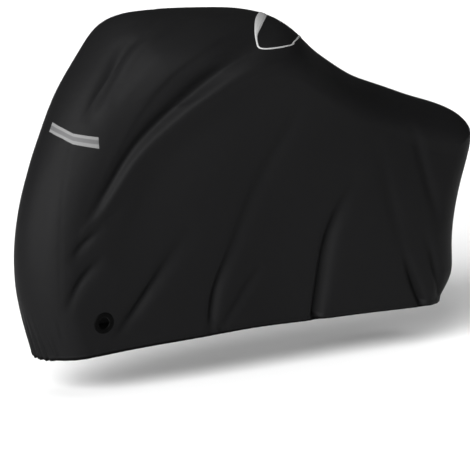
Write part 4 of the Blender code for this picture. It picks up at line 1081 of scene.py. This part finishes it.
def tape_material(name, colour, dark, height):
    """Reflective tape: two plain bands with a ribbed darker band between them."""
    made = bpy.data.materials.new(name)
    made.use_nodes = True
    tree = made.node_tree
    link = tree.links.new
    shader = tree.nodes["Principled BSDF"]
    place = node(tree, "ShaderNodeUVMap", uv_map="cloth")
    split = node(tree, "ShaderNodeSeparateXYZ")
    link(place.outputs["UV"], split.inputs["Vector"])
    ramp = node(tree, "ShaderNodeValToRGB")
    share = node(tree, "ShaderNodeMath", operation="DIVIDE")
    share.inputs[1].default_value = height
    link(split.outputs["Y"], share.inputs[0])
    link(share.outputs[0], ramp.inputs["Fac"])
    ramp.color_ramp.interpolation = "LINEAR"
    stops = [(0.0, colour), (0.27, colour), (0.32, dark), (0.66, dark), (0.71, colour), (1.0, colour)]
    for _ in range(len(stops) - 2):
        ramp.color_ramp.elements.new(0.5)
    for element, (position, tone) in zip(ramp.color_ramp.elements, stops):
        element.position = position
        element.color = (*tone, 1.0)
    link(ramp.outputs["Color"], shader.inputs["Base Color"])
    ribs = node(tree, "ShaderNodeTexWave", wave_type="BANDS", bands_direction="Y")
    ribs.inputs["Scale"].default_value = 90.0
    link(place.outputs["UV"], ribs.inputs["Vector"])
    raised = node(tree, "ShaderNodeBump")
    raised.inputs["Strength"].default_value = 0.4
    raised.inputs["Distance"].default_value = 0.0004
    link(ribs.outputs["Fac"], raised.inputs["Height"])
    link(raised.outputs["Normal"], shader.inputs["Normal"])
    shader.inputs["Roughness"].default_value = 0.5
    shader.inputs["Specular IOR Level"].default_value = 0.1
    return made


def plain_material(name, colour, roughness, shine, scale, strength, distance, charted=True):
    """A moulded or woven surface with a fine uneven grain."""
    made = bpy.data.materials.new(name)
    made.use_nodes = True
    tree = made.node_tree
    link = tree.links.new
    shader = tree.nodes["Principled BSDF"]
    if charted:
        place = node(tree, "ShaderNodeUVMap", uv_map="cloth").outputs["UV"]
    else:
        place = node(tree, "ShaderNodeTexCoord").outputs["Object"]
    grain = node(tree, "ShaderNodeTexNoise")
    grain.inputs["Scale"].default_value = scale
    link(place, grain.inputs["Vector"])
    raised = node(tree, "ShaderNodeBump")
    raised.inputs["Strength"].default_value = strength
    raised.inputs["Distance"].default_value = distance
    link(grain.outputs["Fac"], raised.inputs["Height"])
    link(raised.outputs["Normal"], shader.inputs["Normal"])
    tint = node(tree, "ShaderNodeMix", data_type="RGBA")
    tint.inputs["A"].default_value = (*[part * 0.9 for part in colour], 1.0)
    tint.inputs["B"].default_value = (*[part * 1.1 for part in colour], 1.0)
    link(grain.outputs["Fac"], tint.inputs["Factor"])
    link(tint.outputs["Result"], shader.inputs["Base Color"])
    shader.inputs["Roughness"].default_value = roughness
    shader.inputs["Specular IOR Level"].default_value = shine
    return made


black_cloth = cloth_material("coated cloth", (0.0040, 0.0040, 0.0042), 350.0, 0.6)
flap_black = cloth_material("flap cloth", (0.0040, 0.0040, 0.0042), 350.0, 0.6)
grey_tape = tape_material("reflective tape", (0.105, 0.105, 0.105), (0.060, 0.060, 0.061), 0.035)
pale_edging = plain_material("reflective edging", (0.25, 0.25, 0.25), 0.5, 0.1, 600.0, 0.2, 0.0003)
eyelet_black = plain_material("eyelet plastic", (0.0006, 0.0006, 0.0006), 0.55, 0.03, 400.0, 0.1, 0.0002)
thread_black = plain_material("thread", (0.0060, 0.0060, 0.0062), 0.6, 0.1, 900.0, 0.1, 0.0001,
                              charted=False)
# Painted shade: the hem's lowest rows and roll are darker than the cloth, standing in for shade under the
# rolled edge.
hem_painted_shade = plain_material("hem painted shade", (0.0010, 0.0010, 0.0010), 0.7, 0.03, 500.0, 0.2, 0.0003)

left, left_grid = side_cloth("left_side_cloth", LEFT, black_cloth, hem_painted_shade)
right, right_grid = side_cloth("right_side_cloth", RIGHT, black_cloth, hem_painted_shade)
front, front_grid = front_cloth("front_cloth", black_cloth, hem_painted_shade)
skin = skin_of([left, right, front])
left_strip = corner_strip("left_corner_strip", LEFT, "left", skin, grey_tape)
right_strip = corner_strip("right_corner_strip", RIGHT, "right", skin, grey_tape)
edging = flap_trim("flap_edging", skin, pale_edging)
flap = top_flap("flap_cloth", skin, flap_black)
left_eyelet = eyelet("left_lock_eyelet", LEFT, eyelet_black)
right_eyelet = eyelet("right_lock_eyelet", RIGHT, eyelet_black)

thread = stitch_thread(thread_black)
tree, step = stitching_tree(thread, thread_black)
hem_row = CLOTH_ROWS - HEM_STITCH_ROW
side_rows = [RIDGE_STITCH_ROW, hem_row]
side_columns = [SEAM_STITCH_COLUMN, SIDE_COLUMNS - SEAM_STITCH_COLUMN]
left_stitches = stitching("left_side_stitches", seam_stitches(left_grid, side_rows, side_columns),
                          tree, step, thread_black)
right_stitches = stitching("right_side_stitches", seam_stitches(right_grid, side_rows, side_columns),
                           tree, step, thread_black)
front_stitches = stitching("front_stitches", seam_stitches(front_grid, [hem_row], []),
                           tree, step, thread_black)
bpy.data.objects.remove(thread)

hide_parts("side_panel_left", "lock_strip_left")
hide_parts("side_panel_right", "lock_strip_right")
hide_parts("front_panel")
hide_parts("corner_strip_left")
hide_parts("corner_strip_right")
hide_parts("flap_trim")
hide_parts("top_flap")
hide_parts("lock_eyelet_left")
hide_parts("lock_eyelet_right")
for thing, slot in ((left, "cloth"), (right, "cloth"), (front, "cloth"), (left_strip, "tape"),
                    (right_strip, "tape"), (edging, "edging"), (flap, "flap_cloth"),
                    (left_eyelet, "eyelet"), (right_eyelet, "eyelet"), (left_stitches, "cloth"),
                    (right_stitches, "cloth"), (front_stitches, "cloth")):
    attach(thing, "root")

floor_mesh = bpy.data.meshes.new("floor")
floor_mesh.from_pydata([(-40, -40, GROUND_Z), (40, -40, GROUND_Z), (40, 40, GROUND_Z), (-40, 40, GROUND_Z)],
                       [], [(0, 1, 2, 3)])
floor = bpy.data.objects.new("floor", floor_mesh)
bpy.context.scene.collection.objects.link(floor)
floor_paint = bpy.data.materials.new("floor paint")
floor_paint.use_nodes = True
floor_paint.node_tree.nodes["Principled BSDF"].inputs["Base Color"].default_value = (0.9, 0.9, 0.9, 1.0)
floor_paint.node_tree.nodes["Principled BSDF"].inputs["Roughness"].default_value = 0.9
floor_mesh.materials.append(floor_paint)

world = bpy.data.worlds.new("studio")
bpy.context.scene.world = world
world.use_nodes = True
world.node_tree.nodes["Background"].inputs["Color"].default_value = (1.0, 1.0, 1.0, 1.0)
world.node_tree.nodes["Background"].inputs["Strength"].default_value = 0.08


def soft_sun(name, away, spread, strength):
    """A wide, soft light from one direction."""
    lamp = bpy.data.lights.new(name, "SUN")
    lamp.angle = math.radians(spread)
    lamp.energy = strength
    thing = bpy.data.objects.new(name, lamp)
    thing.location = Vector(away) * 6.0
    thing.rotation_euler = Vector(away).to_track_quat("Z", "Y").to_euler()
    bpy.context.scene.collection.objects.link(thing)


soft_sun("key", (-0.80, -0.42, 0.28), 50.0, 10.5)
soft_sun("overhead", (0.05, 0.20, 1.0), 70.0, 0.8)

view_turn = math.radians(-36.0)
view_rise = math.radians(10.8)
aim = Vector((0.202, 0.0, -0.793))
back = Vector((math.sin(view_turn) * math.cos(view_rise), -math.cos(view_turn) * math.cos(view_rise),
               math.sin(view_rise)))
lens = bpy.data.cameras.new("camera")
lens.sensor_width = 36.0
lens.lens = 268.6
lens.clip_end = 200.0
camera = bpy.data.objects.new("camera", lens)
camera.location = aim + back * 12.0
camera.rotation_euler = back.to_track_quat("Z", "Y").to_euler()
bpy.context.scene.collection.objects.link(camera)
bpy.context.scene.camera = camera
bpy.context.scene.view_settings.view_transform = "Standard"
